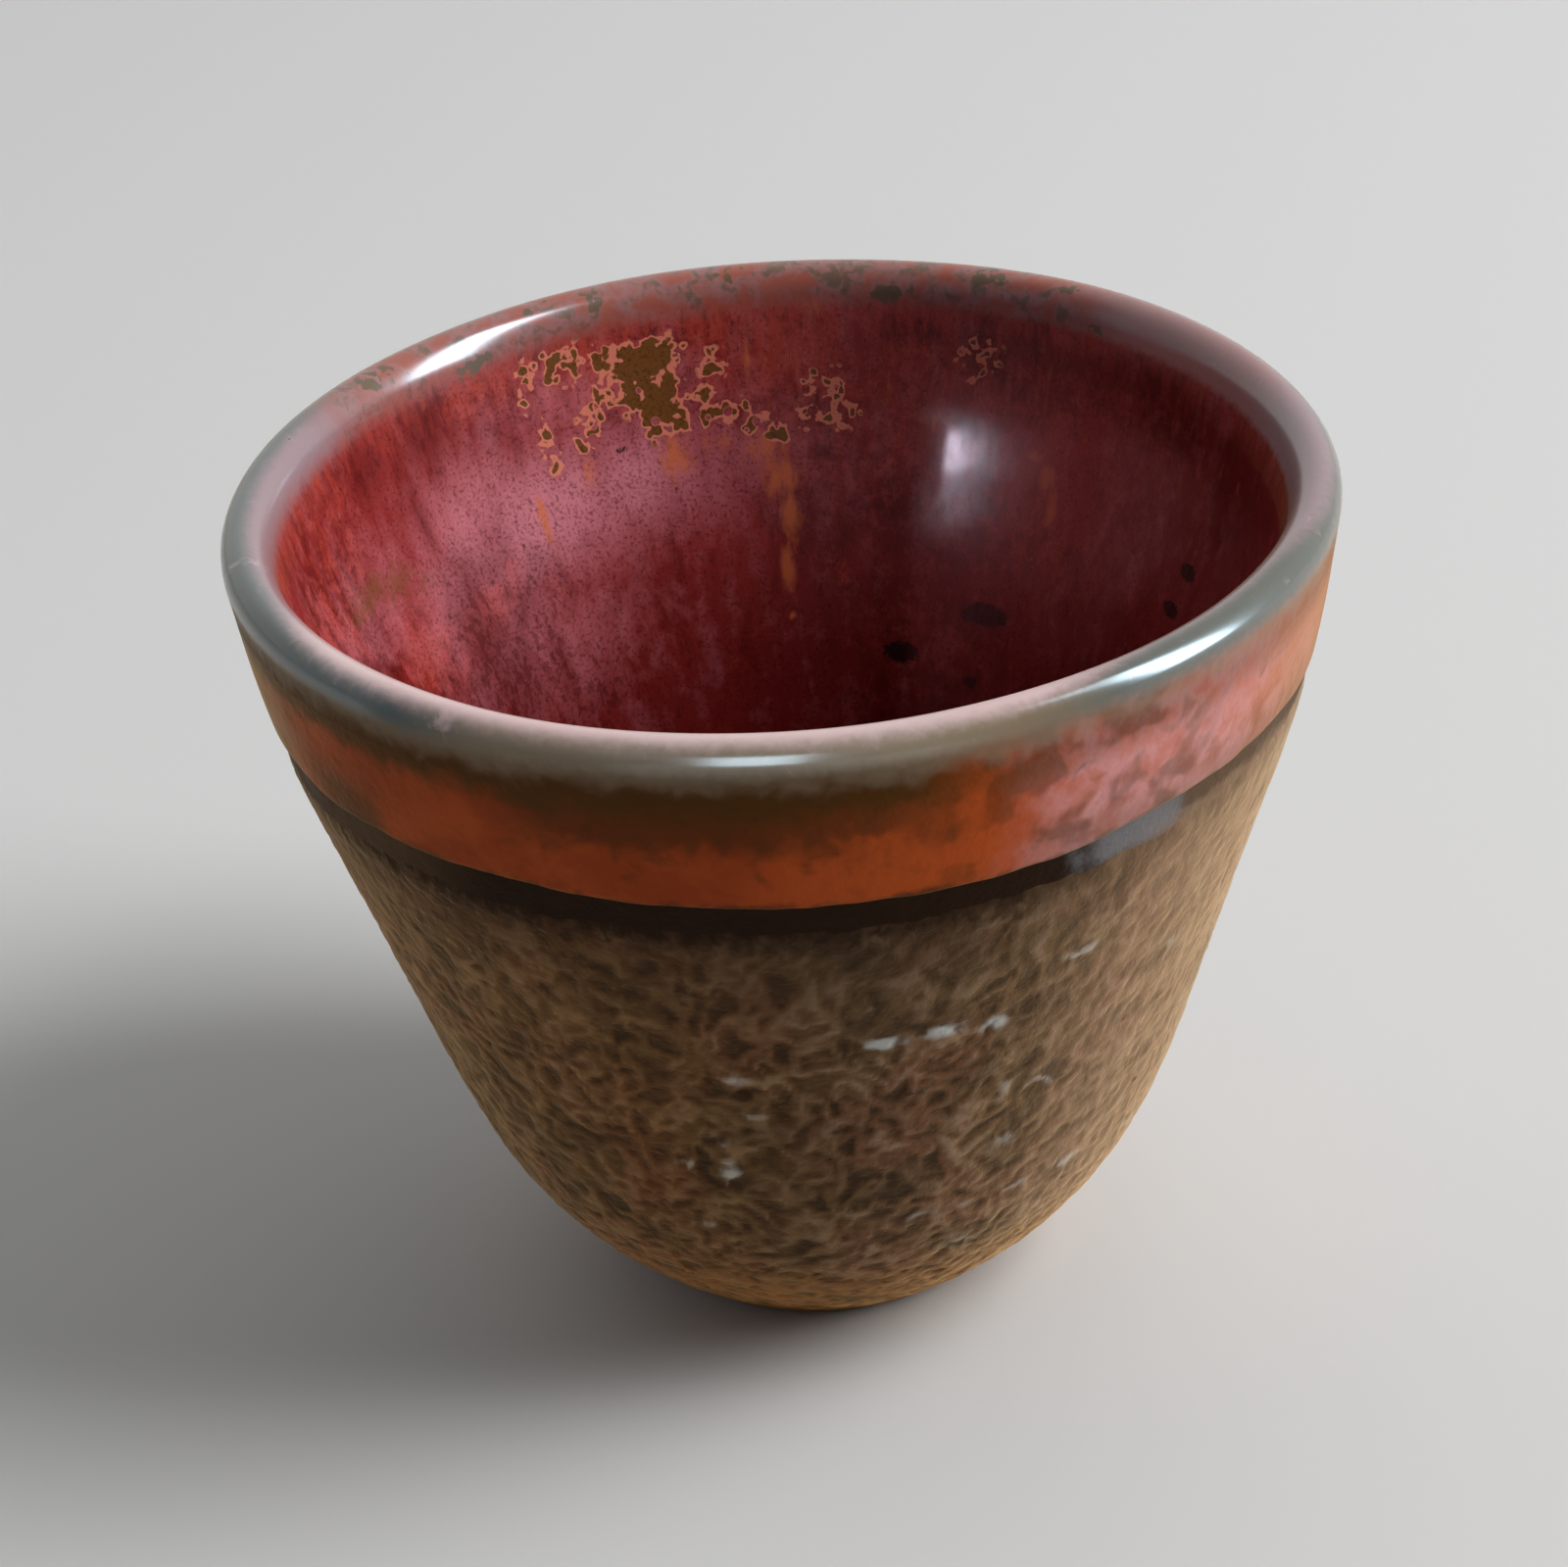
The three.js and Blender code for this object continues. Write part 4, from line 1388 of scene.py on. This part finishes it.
def add_room(dim, bright):
    """A plain world, dim in front of the bowl and bright behind it."""
    world = bpy.data.worlds.new("plain_room")
    world.use_nodes = True
    net = Net(world.node_tree)
    background = world.node_tree.nodes["Background"]
    net.put(background.inputs["Color"], ROOM_COLOUR)
    direction = net.node("ShaderNodeTexCoord").outputs["Generated"]
    behind = net.vector("DOT_PRODUCT", direction, (0, 1, 0))
    net.put(background.inputs["Strength"], net.remap(behind, ROOM_DIM, ROOM_BRIGHT, dim, bright))
    bpy.context.scene.world = world


class BOWL_OT_stage(bpy.types.Operator):
    """A plain pale floor, soft windows and the camera"""

    bl_idname = "tea_bowl.stage"
    bl_label = "Stage"

    def execute(self, context):
        s = context.scene.bowl_stage
        add_floor(s.floor)
        add_room(s.dim, s.bright)
        add_window("window_right", -6, 38, 2.2, (1.0, 1.9), s.key)
        add_window("shine_right", -8, 31, 2.2, (0.8, 2.1), 2.5 * s.key, COOL, shine_only=True)
        add_window("shine_front", -99, 15, 1.2, (0.34, 0.7), s.front, COOL, shine_only=True)
        add_window("shine_left", -150, 23, 1.2, (0.6, 0.5), s.side, LILAC, shine_only=True)
        add_camera()
        context.scene.view_settings.view_transform = "Standard"
        return {"FINISHED"}


class BOWL_PT_tea_bowl(bpy.types.Panel):
    """Lists the pieces of the tea bowl"""

    bl_label = "Tea Bowl"
    bl_idname = "BOWL_PT_tea_bowl"
    bl_space_type = "VIEW_3D"
    bl_region_type = "UI"
    bl_category = "Tea Bowl"

    def draw(self, context):
        for operator in OPERATORS:
            self.layout.operator(operator.bl_idname)
        for title in SETTINGS:
            group = getattr(context.scene, title)
            box = self.layout.box()
            box.label(text=title.replace("_", " ").title())
            for name in group.__annotations__:
                box.prop(group, name)


OPERATORS = (
    BOWL_OT_clay_body,
    BOWL_OT_slip_coat,
    BOWL_OT_iron_line,
    BOWL_OT_glaze_band,
    BOWL_OT_lip_glaze,
    BOWL_OT_well_glaze,
    BOWL_OT_stage,
)
SETTINGS = {
    "bowl_form": FormSettings,
    "bowl_clay": ClaySettings,
    "bowl_slip": SlipSettings,
    "bowl_line": LineSettings,
    "bowl_band": BandSettings,
    "bowl_lip": LipSettings,
    "bowl_well": WellSettings,
    "bowl_stage": StageSettings,
}


def register():
    for group in SETTINGS.values():
        bpy.utils.register_class(group)
    for title, group in SETTINGS.items():
        setattr(bpy.types.Scene, title, PointerProperty(type=group))
    for operator in OPERATORS:
        bpy.utils.register_class(operator)
    bpy.utils.register_class(BOWL_PT_tea_bowl)


def unregister():
    bpy.utils.unregister_class(BOWL_PT_tea_bowl)
    for operator in reversed(OPERATORS):
        bpy.utils.unregister_class(operator)
    for title, group in SETTINGS.items():
        delattr(bpy.types.Scene, title)
        bpy.utils.unregister_class(group)


def main():
    register()
    bpy.ops.tea_bowl.clay_body()
    bpy.ops.tea_bowl.slip_coat()
    bpy.ops.tea_bowl.iron_line()
    bpy.ops.tea_bowl.glaze_band()
    bpy.ops.tea_bowl.lip_glaze()
    bpy.ops.tea_bowl.well_glaze()
    bpy.ops.tea_bowl.stage()


if __name__ == "__main__":
    main()
